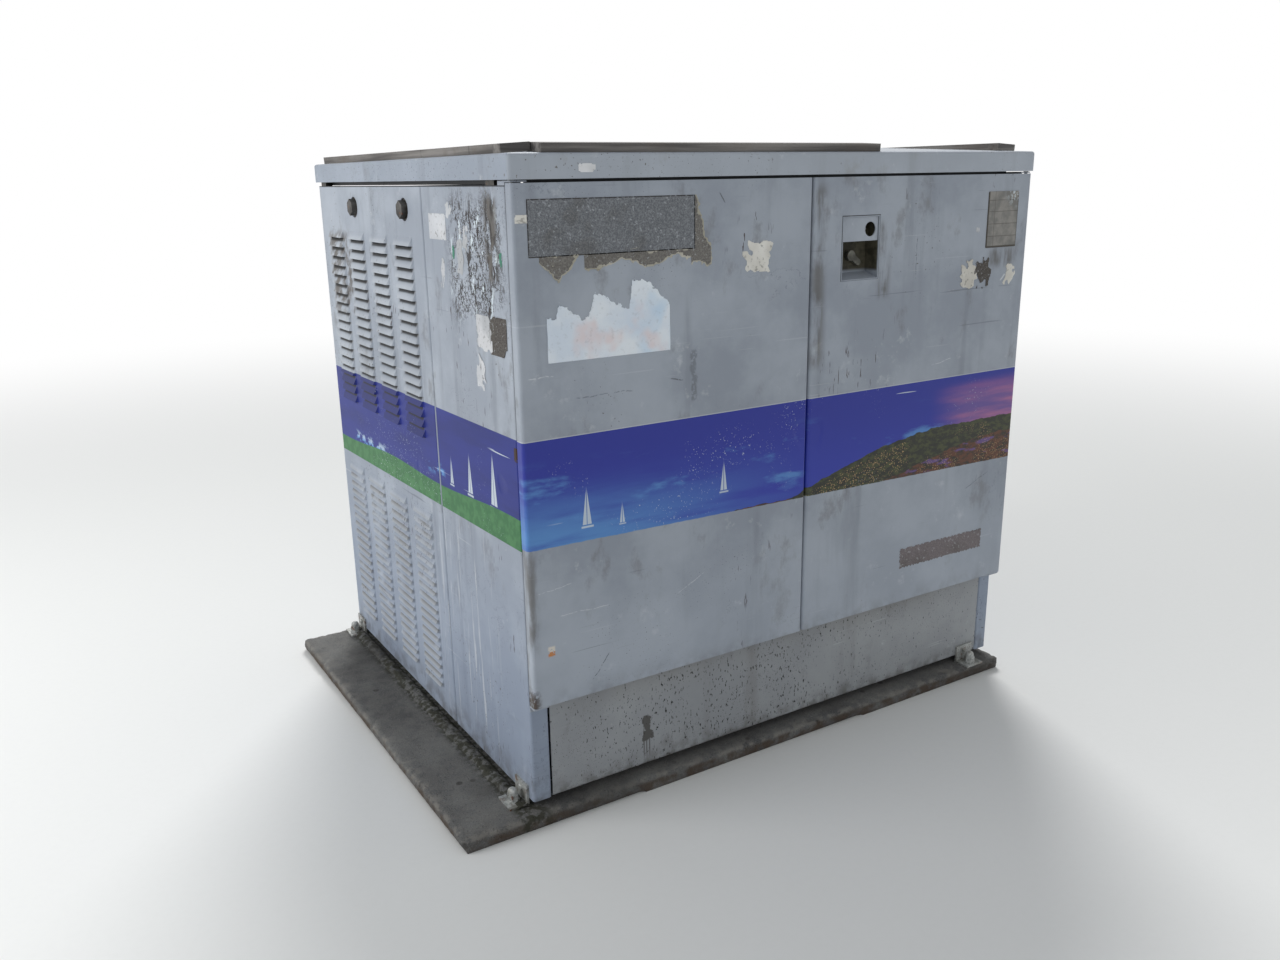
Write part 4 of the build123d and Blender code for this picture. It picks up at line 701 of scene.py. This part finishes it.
def concrete():
    """Old trowelled concrete, worn pale at its rim, with earth and grit along its sides."""
    f = Finish("old_concrete", 0.9)
    sand = f.grain(330.0, 3.0)
    f.base(f.flecks(5.0, 8.0, 0.36, 0.66), rgb(84, 84, 84), rgb(112, 112, 110))
    f.coat(rgb(150, 146, 140), f.ramp(sand, 0.54, 0.72, 0.45))
    f.coat(rgb(52, 50, 48), f.ramp(f.cells(240.0), 0.25, 0.16, 0.8))
    spots = f.ramp(f.cells(17.0, 3.0), 0.16, 0.10, 0.7)
    f.coat(rgb(48, 46, 44), spots, f.flecks(9.0, 3.0, 0.46, 0.56))
    top = plinth_high[2]
    rubbed = f.flecks(40.0, 5.0, 0.42, 0.56, shift=6.0)
    rim = f.times(f.within(f.z, top - 0.010, top - 0.001, 0.003), rubbed, 0.6)
    f.coat(rgb(134, 130, 124), rim)
    side = f.ramp(f.z, top - 0.004, top - 0.016)
    soil = f.flecks(24.0, 7.0, 0.34, 0.60, 0.8, shift=4.0)
    f.coat(rgb(72, 58, 46), side, soil)
    near_wall = f.ramp(f.x, side_face - 0.055, side_face - 0.030)
    near_wall = f.times(near_wall, f.ramp(f.x, side_face + 0.06, side_face))
    moss = f.times(near_wall, f.flecks(60.0, 7.0, 0.40, 0.56, 0.9, shift=9.0))
    f.coat(rgb(48, 48, 38), moss)
    damp = f.flecks(3.1, 5.0, 0.52, 0.66, 0.55, shift=17.0)
    f.coat(rgb(62, 61, 60), damp)
    pits = f.bump(f.ramp(f.cells(150.0), 0.10, 0.30), 0.0016)
    return f.done(f.bump(sand, 0.0011, pits), shine=0.3)


def galvanised():
    """Zinc-coated steel, dull and spangled, with rust in its corners."""
    f = Finish("dull_galvanised", 0.5, 0.35)
    f.base(f.ramp(f.cells(160.0), 0.1, 0.7), rgb(142, 144, 142), rgb(176, 178, 176))
    f.coat(rgb(104, 102, 92), f.flecks(38.0, 6.0, 0.48, 0.64, 0.7))
    f.coat(rust, f.flecks(60.0, 5.0, 0.58, 0.68, 0.8, shift=7.0))
    return f.done(f.bump(f.grain(260.0, 3.0), 0.0002))


def wood():
    """Grey weathered board with open grain, its edges paler."""
    f = Finish("weathered_board", 0.85)
    lines = f.grain(60.0, 5.0, stretch=(1, 0.04, 1))
    cross = f.grain(60.0, 5.0, stretch=(0.04, 1, 1), shift=3.0)
    front = f.ramp(f.y, door_face + 0.090, door_face + 0.080)
    grain_lines = f.mix(front, lines, cross)
    f.base(f.ramp(grain_lines, 0.35, 0.68), rgb(84, 81, 79), rgb(138, 134, 130))
    f.coat(rgb(106, 97, 90), f.flecks(7.0, 5.0, 0.50, 0.66, 0.6))
    f.coat(rgb(44, 40, 36), f.ramp(grain_lines, 0.33, 0.25))
    return f.done(f.bump(grain_lines, 0.0022))


def steel(name, low, high, roughness, metallic=0.8):
    """Bare or blackened steel with oily smears."""
    f = Finish(name, roughness, metallic)
    f.base(f.flecks(30.0, 6.0, 0.38, 0.64), low, high)
    f.coat(rust, f.flecks(75.0, 5.0, 0.60, 0.70, 0.7, shift=3.0))
    return f.done(f.bump(f.grain(300.0, 3.0), 0.00015))


def enamel(name, low, high, roughness, fine=200.0):
    """A painted or moulded surface with mild mottling."""
    f = Finish(name, roughness)
    f.base(f.flecks(8.0, 6.0, 0.36, 0.66), low, high)
    f.coat(grime, f.flecks(90.0, 4.0, 0.62, 0.72, 0.5, shift=5.0))
    return f.done(f.bump(f.grain(fine, 3.0), 0.0002))


def windings():
    """Wire turns wrapped round the coils, between the yokes of stacked plates."""
    f = Finish("wound_wire", 0.4)
    turn = f.math("SINE", f.times(f.z, 2 * pi / 0.006))
    f.base(f.ramp(turn, -0.8, 0.6), rgb(70, 40, 22), rgb(166, 100, 56))
    f.coat(rgb(120, 84, 52), f.flecks(12.0, 5.0, 0.45, 0.65, 0.5))
    return f.done(f.bump(turn, 0.0012))


def dial(name, middle_x, middle_z):
    """A gauge: a white face with tick marks in a dark rim."""
    f = Finish(name, 0.3)
    across = f.minus(f.x, middle_x)
    up = f.minus(f.z, middle_z)
    radius = f.math("SQRT", f.plus(f.times(across, across), f.times(up, up)))
    angle = f.math("ARCTAN2", up, across)
    ticks = f.ramp(f.math("FRACT", f.times(angle, 12 / pi)), 0.16, 0.10)
    ticks = f.times(ticks, f.within(radius, 0.020, 0.026, 0.0005))
    needle = f.within(f.minus(across, up), -0.0012, 0.0012, 0.0003)
    needle = f.times(needle, f.ramp(radius, 0.021, 0.020), f.ramp(up, -0.004, -0.003))
    f.base(f.ramp(radius, 0.0285, 0.0280), rgb(52, 54, 56), rgb(222, 220, 210))
    f.coat(rgb(26, 26, 28), f.either(ticks, needle))
    f.coat(grime, f.flecks(60.0, 4.0, 0.55, 0.70, 0.3))
    return f.done(f.bump(ticks, 0.0002))


def plate_face():
    """The bare number plate: greyed plastic with faint blank rows, and painted shade at its left, its right
    and its foot.
    """
    f = Finish("bare_plate", 0.55)
    f.base(f.flecks(30.0, 6.0, 0.38, 0.64), rgb(120, 119, 116), rgb(146, 143, 138))
    left, right = plate_low[0], plate_high[0]
    foot, top = plate_low[2], plate_high[2]
    rows = f.either(*[f.within(f.z, level, level + 0.0014, 0.0004) for level in plate_rows])
    column = f.within(f.x, left + 0.024, left + 0.0255, 0.0004)
    f.coat(rgb(72, 68, 62), f.either(rows, column), 0.6)
    # Painted shade along the plate's edges and foot
    edge_shade = f.either(f.ramp(f.x, left + 0.005, left + 0.003), f.ramp(f.x, right - 0.003, right))
    edge_shade = f.either(edge_shade, f.ramp(f.z, foot + 0.006, foot + 0.003))
    f.coat(rgb(70, 66, 60), edge_shade)
    flakes = f.times(f.flecks(80.0, 4.0, 0.50, 0.56, shift=4.0), f.ramp(f.x, left + 0.05, right))
    f.coat(film_white, flakes, f.ramp(f.z, plate_rows[2], top))
    return f.done(f.bump(rows, 0.0003), shine=0.3)


def paper(name, tone, shade, tint_low, tint_high, dirt):
    """Old paper: fibres, soft tints and grey dirt."""
    f = Finish(name, 0.8)
    f.base(f.flecks(9.0, 4.0, 0.36, 0.64), tone, shade)
    f.coat(tint_low, f.flecks(6.0, 3.0, 0.50, 0.66, 0.7, shift=3.0))
    f.coat(tint_high, f.flecks(8.0, 3.0, 0.56, 0.68, 0.6, shift=8.0))
    f.coat(grime, f.flecks(120.0, 5.0, 0.56, 0.70, dirt, shift=5.0))
    return f.done(f.bump(f.grain(180.0, 4.0), 0.0003), shine=0.2)


def residue(name, tone, shade):
    """Gritty backing and glue left where a printed sheet has worn away."""
    f = Finish(name, 0.85)
    grit = f.grain(300.0, 4.0, rough=0.7)
    f.base(f.ramp(grit, 0.36, 0.66), shade, tone)
    f.coat(grime, f.flecks(14.0, 6.0, 0.50, 0.66, 0.35, shift=3.0))
    f.coat(chalk_and_highlight, f.flecks(150.0, 4.0, 0.60, 0.68, 0.35, shift=9.0))
    return f.done(f.bump(grit, 0.0006), shine=0.2)


# Finishes of the frame's own parts
finishes = {
    "painted_housing": housing_paint(),
    "painted_roof": roof_paint(),
    "concrete": concrete(),
    "galvanised": galvanised(),
    "rubber": enamel("old_rubber", rgb(34, 34, 34), rgb(52, 52, 50), 0.7),
    "weathered_wood": wood(),
    "dark_steel": steel("blackened_steel", rgb(46, 44, 42), rgb(84, 82, 78), 0.45),
    "plate": plate_face(),
    "tank_paint": enamel("tank_paint", rgb(112, 122, 122), rgb(136, 146, 146), 0.42),
    "insulator": enamel("glazed_insulator", rgb(78, 38, 24), rgb(110, 58, 38), 0.16, 30.0),
    "copper": steel("tinned_copper", rgb(146, 96, 66), rgb(190, 132, 92), 0.35, 0.9),
    "barrier": enamel("barrier_sheet", rgb(150, 120, 70), rgb(172, 142, 88), 0.5),
    "winding": windings(),
    "gauge": enamel("gauge_case", rgb(52, 54, 56), rgb(70, 72, 74), 0.35),
}
own_finish = {
    "left_door": door_paint("left_door", left_door_marks),
    "right_door": door_paint("right_door", right_door_marks),
    "lock_pocket": pocket_paint(),
    "latch_handle": steel("dull_latch_steel", rgb(70, 70, 64), rgb(112, 112, 104), 0.5, 0.4),
    # The base frame is near black as painted shade, so the gap under the lower panel reads dark
    "base_frame": enamel("shade_black_base_paint", rgb(24, 24, 24), rgb(40, 39, 38), 0.8),
    "left_front_panel": side_paint("left_front_paint", 0.52, -1),
    "left_louvred_panel": side_paint("left_louvre_paint", 0.54, -1),
    "right_front_panel": side_paint("right_front_paint", 0.54, 1),
    "right_louvred_panel": side_paint("right_louvre_paint", 0.54, 1),
    "lower_front_panel": splashed_paint(),
    "lifting_bolts": steel("grimy_bolt_steel", rgb(52, 50, 48), rgb(92, 90, 88), 0.6, 0.5),
    "thermometer": dial("thermometer_dial", -0.060, 1.040),
    "oil_level_gauge": dial("oil_level_dial", 0.100, 1.040),
}
for name, node in nodes.items():
    for place in node.material_slots:
        place.material = own_finish.get(name, finishes[place.material.name])


def on_door(x, z):
    """A place on the doors' face: across to the right, up, and out."""
    return Matrix(((1, 0, 0, x), (0, 0, -1, door_face), (0, 1, 0, z), (0, 0, 0, 1)))


def on_left_side(y, z):
    """A place on the left wall: across towards the doors, up, and out."""
    return Matrix(((0, 0, -1, side_face), (-1, 0, 0, y), (0, 1, 0, z), (0, 0, 0, 1)))


def between(points, across):
    """The height of a line through points at one place across."""
    right = min(max(bisect([p[0] for p in points], across), 1), len(points) - 1)
    (x0, z0), (x1, z1) = points[right - 1], points[right]
    return z0 + (z1 - z0) * (across - x0) / (x1 - x0)


def place_piece(name, builder, matrix, material, body, smooth=False):
    """Makes the built shape a piece that rides on its body."""
    bmesh.ops.transform(builder, matrix=matrix, verts=builder.verts)
    mesh = bpy.data.meshes.new(name)
    builder.to_mesh(mesh)
    builder.free()
    mesh.materials.append(material)
    if smooth:
        mesh.shade_smooth()
    piece = bpy.data.objects.new(name, mesh)
    bpy.context.scene.collection.objects.link(piece)
    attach(piece, body)
    return piece


def torn_sheet(name, matrix, size, kept, material, body, cell=0.0025, curl=0.0):
    """A thin sheet stuck to a wall and torn away wherever kept says no."""
    width, height = size
    builder = bmesh.new()
    columns, rows = round(width / cell), round(height / cell)
    bmesh.ops.create_grid(builder, x_segments=columns, y_segments=rows, size=0.5)
    bmesh.ops.scale(builder, vec=(width, height, 1), verts=builder.verts)
    bmesh.ops.translate(builder, vec=(width / 2, height / 2, 0), verts=builder.verts)
    gone = [face for face in builder.faces if not kept(*face.calc_center_median().xy)]
    bmesh.ops.delete(builder, geom=gone, context="FACES")
    rim = [vert for vert in builder.verts if vert.is_boundary]
    bmesh.ops.smooth_vert(builder, verts=rim, factor=0.5, use_axis_x=True, use_axis_y=True)
    for vert in builder.verts:
        wave = noise.noise(Vector((vert.co.x * 30, vert.co.y * 30, matrix[0][3] * 9)))
        lifted = curl if vert.is_boundary else 0.25 * curl
        vert.co.z = sheet_lift + lifted * max(wave + 0.3, 0)
    bmesh.ops.recalc_face_normals(builder, faces=builder.faces)
    bmesh.ops.solidify(builder, geom=builder.faces[:], thickness=-sheet_t)
    bmesh.ops.recalc_face_normals(builder, faces=builder.faces)
    return place_piece(name, builder, matrix, material, body)


def ragged(strength, scale, shift):
    """A noise that frays an edge."""
    return lambda across, up: strength * noise.noise(Vector((across * scale, up * scale, shift)))


def rough_plinth():
    """The plinth with worn, crumbled edges, made from a finely remeshed copy of its solid."""
    source = nodes["concrete_plinth"]
    builder = bmesh.new()
    builder.from_mesh(source.data)
    bmesh.ops.remove_doubles(builder, verts=builder.verts, dist=0.0001)
    mesh = bpy.data.meshes.new("plinth_form")
    builder.to_mesh(mesh)
    builder.free()
    form = bpy.data.objects.new("plinth_form", mesh)
    bpy.context.scene.collection.objects.link(form)
    remesh = form.modifiers.new("fine", "REMESH")
    remesh.mode = "VOXEL"
    remesh.voxel_size = plinth_voxel
    builder = bmesh.new()
    builder.from_object(form, bpy.context.evaluated_depsgraph_get())
    bpy.data.objects.remove(form)
    for vert in builder.verts:
        spot = vert.co.copy()
        outward = vert.normal.copy()
        rim = 1 - min((plinth_high[2] - spot.z) / rim_h, 1)
        from_sides = min(spot.x - plinth_low[0], plinth_high[0] - spot.x)
        from_ends = min(spot.y - plinth_low[1] - plinth_skew, plinth_high[1] - spot.y)
        near_edge = max(0.0, 1 - max(min(from_sides, from_ends), 0) / rim_w) * rim
        crumble = max(0.0, noise.fractal(spot * 28, 1.0, 2.0, 4)) * near_edge
        side = 1 - abs(outward.z)
        wobble = 0.5 + 0.5 * noise.noise(spot * 60)
        vert.co -= outward * (crumble_depth * crumble + wobble_depth * wobble * side)
        vert.co.z = min(max(vert.co.z, 0.0), plinth_high[2])
        vert.co.x = min(max(vert.co.x, plinth_low[0]), plinth_high[0])
        vert.co.y = min(max(vert.co.y, plinth_low[1]), plinth_high[1])
    finish = finishes["concrete"]
    piece = place_piece("rough_plinth", builder, Matrix(), finish, "cabinet", True)
    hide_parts("concrete_plinth")


def mortar_strip():
    """Old mortar and moss along the foot of the left wall."""
    length = plinth_high[1] - plinth_low[1] - mortar_short
    builder = bmesh.new()
    bmesh.ops.create_grid(builder, x_segments=12, y_segments=300, size=0.5)
    bmesh.ops.scale(builder, vec=(mortar_w, length, 1), verts=builder.verts)
    middle_y = (plinth_low[1] + plinth_high[1]) / 2 + plinth_skew
    middle = Vector((side_face - mortar_w / 2, middle_y, plinth_high[2]))
    for vert in builder.verts:
        share = vert.co.x / mortar_w
        grit = noise.fractal(Vector((vert.co.x * 60, vert.co.y * 60, 5.0)), 1.0, 2.0, 4)
        height = mortar_h * (1 - (2 * share) ** 2 * 0.8) + mortar_grit * grit
        vert.co.x += mortar_sway * noise.noise(Vector((0.0, vert.co.y * 18, 2.0))) * (0.5 - share)
        vert.co.z = max(height, mortar_least_h)
    bmesh.ops.recalc_face_normals(builder, faces=builder.faces)
    bmesh.ops.solidify(builder, geom=builder.faces[:], thickness=-mortar_t)
    bmesh.ops.recalc_face_normals(builder, faces=builder.faces)
    place = Matrix.Translation(middle)
    place_piece("mortar_strip", builder, place, finishes["concrete"], "cabinet", True)


# The plinth: how finely it is remeshed, the rim that crumbles, how deep, and how askew its front is
plinth_voxel = 0.009
rim_h = 0.02
rim_w = 0.03
crumble_depth = 0.009
wobble_depth = 0.0022
plinth_skew = 0.02

# The mortar: its section, how uneven it is, and how much shorter than the plinth
mortar_w = 0.034
mortar_h = 0.008
mortar_least_h = 0.0008
mortar_t = 0.003
mortar_grit = 0.0035
mortar_sway = 0.006
mortar_short = 0.09
rough_plinth()
mortar_strip()

# The poster's torn remnant on the left door
torn_top = (
    (0.0, 0.088), (0.020, 0.084), (0.028, 0.116), (0.060, 0.092), (0.085, 0.078), (0.096, 0.090),
    (0.108, 0.132), (0.135, 0.118), (0.186, 0.092), (0.190, 0.112), (0.194, 0.150), (0.232, 0.146),
    (0.262, 0.118), (0.285, 0.094),
)
poster_tints = (rgb(188, 216, 240), rgb(230, 208, 206))
poster_paper = paper("poster_paper", rgb(232, 238, 244), rgb(216, 226, 238), *poster_tints, 0.12)
fray = ragged(0.007, 120, 1.0)
fine_fray = ragged(0.003, 420, 4.0)


def poster_kept(across, up):
    """The part of the poster that is left under its torn top."""
    return up < between(torn_top, across) + fray(across, up) + fine_fray(across, up)


poster_place = on_door(-0.661, 1.018)
torn_sheet(
    "poster_remnant", poster_place, (0.285, 0.150), poster_kept, poster_paper, "left_door", 0.0015, 0.002,
)

# The worn sign's bare backing, with its torn rim
sign_x = -0.694
sign_z = 1.221
sign_w = 0.382
sign_size = (sign_w, 0.108)
sign_backing = residue("sign_backing", rgb(136, 139, 143), rgb(102, 105, 110))
sign_border = residue("sign_border", rgb(78, 76, 76), rgb(58, 56, 56))
torn_rim = residue("torn_residue", rgb(134, 131, 126), rgb(104, 101, 98))
edge_tints = (rgb(150, 144, 130), rgb(204, 200, 190))
torn_edge = paper("torn_paper_edge", rgb(190, 186, 174), rgb(168, 164, 150), *edge_tints, 0.4)
sign_fray = ragged(0.0009, 160, 2.0)
border_w = 0.0013


def oblong(size, inset, frayed):
    """An oblong of that size, less an inset and a fray."""
    width, height = size
    return lambda across, up: min(across, width - across, up, height - up) > inset + frayed(across, up)


raised = Matrix.Translation((0, 0, sheet_t))
sign_place = on_door(sign_x, sign_z) @ raised
whole_sign = oblong(sign_size, 0.0, sign_fray)
inner_sign = oblong(sign_size, border_w, sign_fray)
torn_sheet("sign_outline", sign_place, sign_size, whole_sign, sign_border, "left_door", 0.002)
torn_sheet(
    "sign_backing_sheet", sign_place @ raised, sign_size, inner_sign, sign_backing, "left_door", 0.002,
)
shreds_size = (0.436, 0.160)
shreds_under = 0.052
rim_noise = ragged(1.0, 30, 5.0)
rim_fine = ragged(0.35, 110, 8.0)


def torn_depth(across, up):
    """How deep a place lies inside the older sheet's shreds, below and to the right of the sign."""
    roughness = 0.012 * (rim_noise(across, up) + 1.4 * rim_fine(across, up))
    hanging = 0.022 + 0.010 * cos(across * 46) if across > 0.12 else 0.048 - 0.9 * abs(across - 0.062)
    below = up - (shreds_under - hanging) if 0.022 < across < sign_w + 0.04 else -1.0
    reach = 0.040 - 0.34 * max(up - shreds_under, 0)
    right = min(sign_w + reach - across, up - 0.020) if across > sign_w - 0.01 else -1.0
    return max(min(below, shreds_under + 0.006 - up), right) + roughness


def shreds_kept(inset):
    """The shreds, drawn in by an inset."""
    return lambda across, up: torn_depth(across, up) > inset


shreds_place = on_door(sign_x, sign_z - shreds_under)
torn_sheet(
    "sign_shred_edges", shreds_place, shreds_size, shreds_kept(0.0), torn_edge, "left_door", 0.002, 0.0012,
)
torn_sheet(
    "sign_shreds", shreds_place @ raised, shreds_size, shreds_kept(0.0042), torn_rim, "left_door", 0.002,
)


def scrap(name, matrix, size, shift, amount, material, body, curl=0.001):
    """A scrap of paper with a noise-torn outline."""
    width, height = size

    def kept(across, up):
        u, v = 2 * across / width - 1, 2 * up / height - 1
        edge = 1 - (u * u + v * v)
        return edge + 1.1 * noise.noise(Vector((u * 2.2, v * 2.2, shift))) > amount

    return torn_sheet(name, matrix, size, kept, material, body, 0.002, curl)


cream_tones = (rgb(234, 232, 226), rgb(214, 211, 203), rgb(186, 181, 171), rgb(236, 234, 230))
white_tones = (rgb(206, 208, 212), rgb(186, 188, 192), rgb(168, 170, 172), rgb(216, 216, 218))
bright_tones = (rgb(248, 249, 250), rgb(234, 235, 237), rgb(222, 223, 225), rgb(190, 191, 193))
cream = paper("cream_paper", *cream_tones, 0.5)
white = paper("white_paper", *white_tones, 0.6)
bright_paper = paper("bright_paper", *bright_tones, 0.3)
brown = residue("brown_residue", rgb(104, 100, 96), rgb(72, 68, 66))
green_tape = enamel("green_tape", rgb(26, 104, 82), rgb(40, 126, 100), 0.5)
door_scraps = (
    ("left_door_scrap", -0.190, 1.156, 0.090, 0.080, 1.0, 0.30, cream, "left_door", 0.001),
    ("left_edge_tape", -0.719, 1.285, 0.038, 0.016, 2.0, -0.6, cream, "left_door", 0.0),
    ("right_door_scrap", 0.482, 1.082, 0.066, 0.074, 3.0, 0.20, cream, "right_door", 0.001),
    ("right_door_shred", 0.535, 1.080, 0.066, 0.080, 4.2, 0.30, brown, "right_door", 0.001),
    ("right_edge_shred", 0.640, 1.082, 0.052, 0.062, 5.0, 0.45, cream, "right_door", 0.001),
    ("small_label", 0.531, 1.220, 0.014, 0.014, 7.0, 0.0, white, "right_door", 0.0),
)
for name, x, z, width, height, shift, amount, material, body, curl in door_scraps:
    scrap(name, on_door(x, z), (width, height), shift, amount, material, body, curl)
roof_label_place = on_door(-0.582, 1.375) @ Matrix.Translation((0, 0, door_face - roof_low[1]))
scrap("roof_edge_label", roof_label_place, (0.038, 0.017), 3.0, -0.4, bright_paper, "cabinet", 0.0)
logo_backing = residue("logo_backing", rgb(136, 128, 129), rgb(112, 106, 108))
logo_fray = ragged(0.0012, 180, 6.0)
logo_size = (0.306, 0.055)
logo_kept = oblong(logo_size, 0.0012, logo_fray)
torn_sheet("bare_logo_place", on_door(0.327, 0.381), logo_size, logo_kept, logo_backing, "right_door")

# Paper on the left wall
label_size = (0.100, 0.060)
label_kept = oblong(label_size, 0.003, ragged(0.002, 120, 7.0))
torn_sheet("blank_label", on_left_side(-0.206, 1.240), label_size, label_kept, white, "cabinet")
side_scraps = (
    ("torn_white_patch", -0.436, 1.028, 0.075, 0.074, 1.5, -0.3, white),
    ("torn_brown_patch", -0.500, 1.026, 0.080, 0.078, 2.5, -0.5, brown),
    ("hanging_shred", -0.412, 0.938, 0.060, 0.086, 3.5, 0.35, white),
    ("upper_flake", -0.345, 1.170, 0.062, 0.090, 5.5, 0.45, white),
    ("middle_flake", -0.375, 1.225, 0.052, 0.062, 6.5, 0.50, white),
    ("high_flake", -0.300, 1.288, 0.040, 0.036, 8.5, 0.45, white),
    ("long_flake", -0.258, 1.130, 0.030, 0.090, 10.5, 0.50, white),
    ("upper_green_tape", -0.331, 1.206, 0.012, 0.028, 11.5, -0.2, green_tape),
    ("front_green_tape", -0.562, 1.202, 0.012, 0.028, 12.5, -0.2, green_tape),
)
for name, y, z, width, height, shift, amount, material in side_scraps:
    scrap(name, on_left_side(y, z), (width, height), shift, amount, material, "cabinet")


# The photo's camera, fitted to the housing's corners
photo_w = 1280
focal_px = 1065.376
camera_place = (-1.5997, -2.4674, 1.3656)
yaw = radians(31.9286)
pitch = radians(15.8924)
roll = radians(-0.9328)


def photo_camera():
    """A camera that stands where the photograph was taken."""
    forward = Vector((sin(yaw) * cos(pitch), cos(yaw) * cos(pitch), -sin(pitch)))
    level = Vector((cos(yaw), -sin(yaw), 0))
    above = level.cross(forward)
    right = cos(roll) * level + sin(roll) * above
    up = cos(roll) * above - sin(roll) * level
    data = bpy.data.cameras.new("photo_camera")
    data.sensor_width = 36
    data.lens = focal_px * data.sensor_width / photo_w
    camera = bpy.data.objects.new("photo_camera", data)
    axes = Matrix((right, up, -forward)).transposed().to_4x4()
    camera.matrix_world = Matrix.Translation(camera_place) @ axes
    bpy.context.scene.collection.objects.link(camera)
    bpy.context.scene.camera = camera


def lamp(name, kind, place, target, energy, size):
    """A soft lamp that points at a target."""
    data = bpy.data.lights.new(name, kind)
    data.energy = energy
    if kind == "SUN":
        data.angle = size
    else:
        data.shape = "DISK"
        data.size = size
    light = bpy.data.objects.new(name, data)
    light.location = place
    light.rotation_euler = (Vector(target) - Vector(place)).to_track_quat("-Z", "Y").to_euler()
    bpy.context.scene.collection.objects.link(light)


def studio():
    """A pale floor under a white world, with a soft key light behind and a fill at the left."""
    floor_mesh = bpy.data.meshes.new("floor")
    builder = bmesh.new()
    bmesh.ops.create_circle(builder, cap_ends=True, segments=96, radius=14.0)
    builder.to_mesh(floor_mesh)
    builder.free()
    floor = bpy.data.objects.new("floor", floor_mesh)
    f = Finish("pale_floor", 0.8)
    distance = f.math("SQRT", f.plus(f.times(f.x, f.x), f.times(f.y, f.y)))
    speck = f.flecks(60.0, 3.0, 0.4, 0.7, 0.04)
    f.base(speck, rgb(232, 232, 230), rgb(210, 210, 208))
    floor_mesh.materials.append(f.done())
    white_sky = f.add("ShaderNodeEmission", {0: (1, 1, 1, 1), 1: 1.0})
    far = f.times(f.ramp(distance, 2.6, 8.0), f.background_ray())
    blend = f.add("ShaderNodeMixShader", {0: far, 1: f.shader.outputs[0], 2: white_sky.outputs[0]})
    f.plug(f.tree.nodes["Material Output"].inputs["Surface"], blend.outputs[0])
    bpy.context.scene.collection.objects.link(floor)
    world = bpy.data.worlds.new("studio")
    world.use_nodes = True
    sky = Nodes(world.node_tree)
    lit = sky.tree.nodes["Background"]
    lit.inputs[0].default_value = (0.93, 0.97, 1.0, 1)
    lit.inputs[1].default_value = 0.43
    seen = sky.add("ShaderNodeBackground", {0: (1, 1, 1, 1)})
    either = {0: sky.background_ray(), 1: lit.outputs[0], 2: seen.outputs[0]}
    either = sky.add("ShaderNodeMixShader", either)
    sky.plug(sky.tree.nodes["World Output"].inputs[0], either.outputs[0])
    bpy.context.scene.world = world
    lamp("key", "SUN", (1.6, 2.6, 3.6), (0, 0, 0.6), 1.7, radians(20))
    lamp("left_fill", "AREA", (-4.6, 0.8, 2.2), (-0.7, 0, 0.8), 92, 3.2)
    lamp("front_fill", "AREA", (-1.2, -5.0, 2.6), (0, -0.6, 0.7), 19, 3.0)


photo_camera()
studio()
bpy.context.scene.view_settings.view_transform = "Standard"
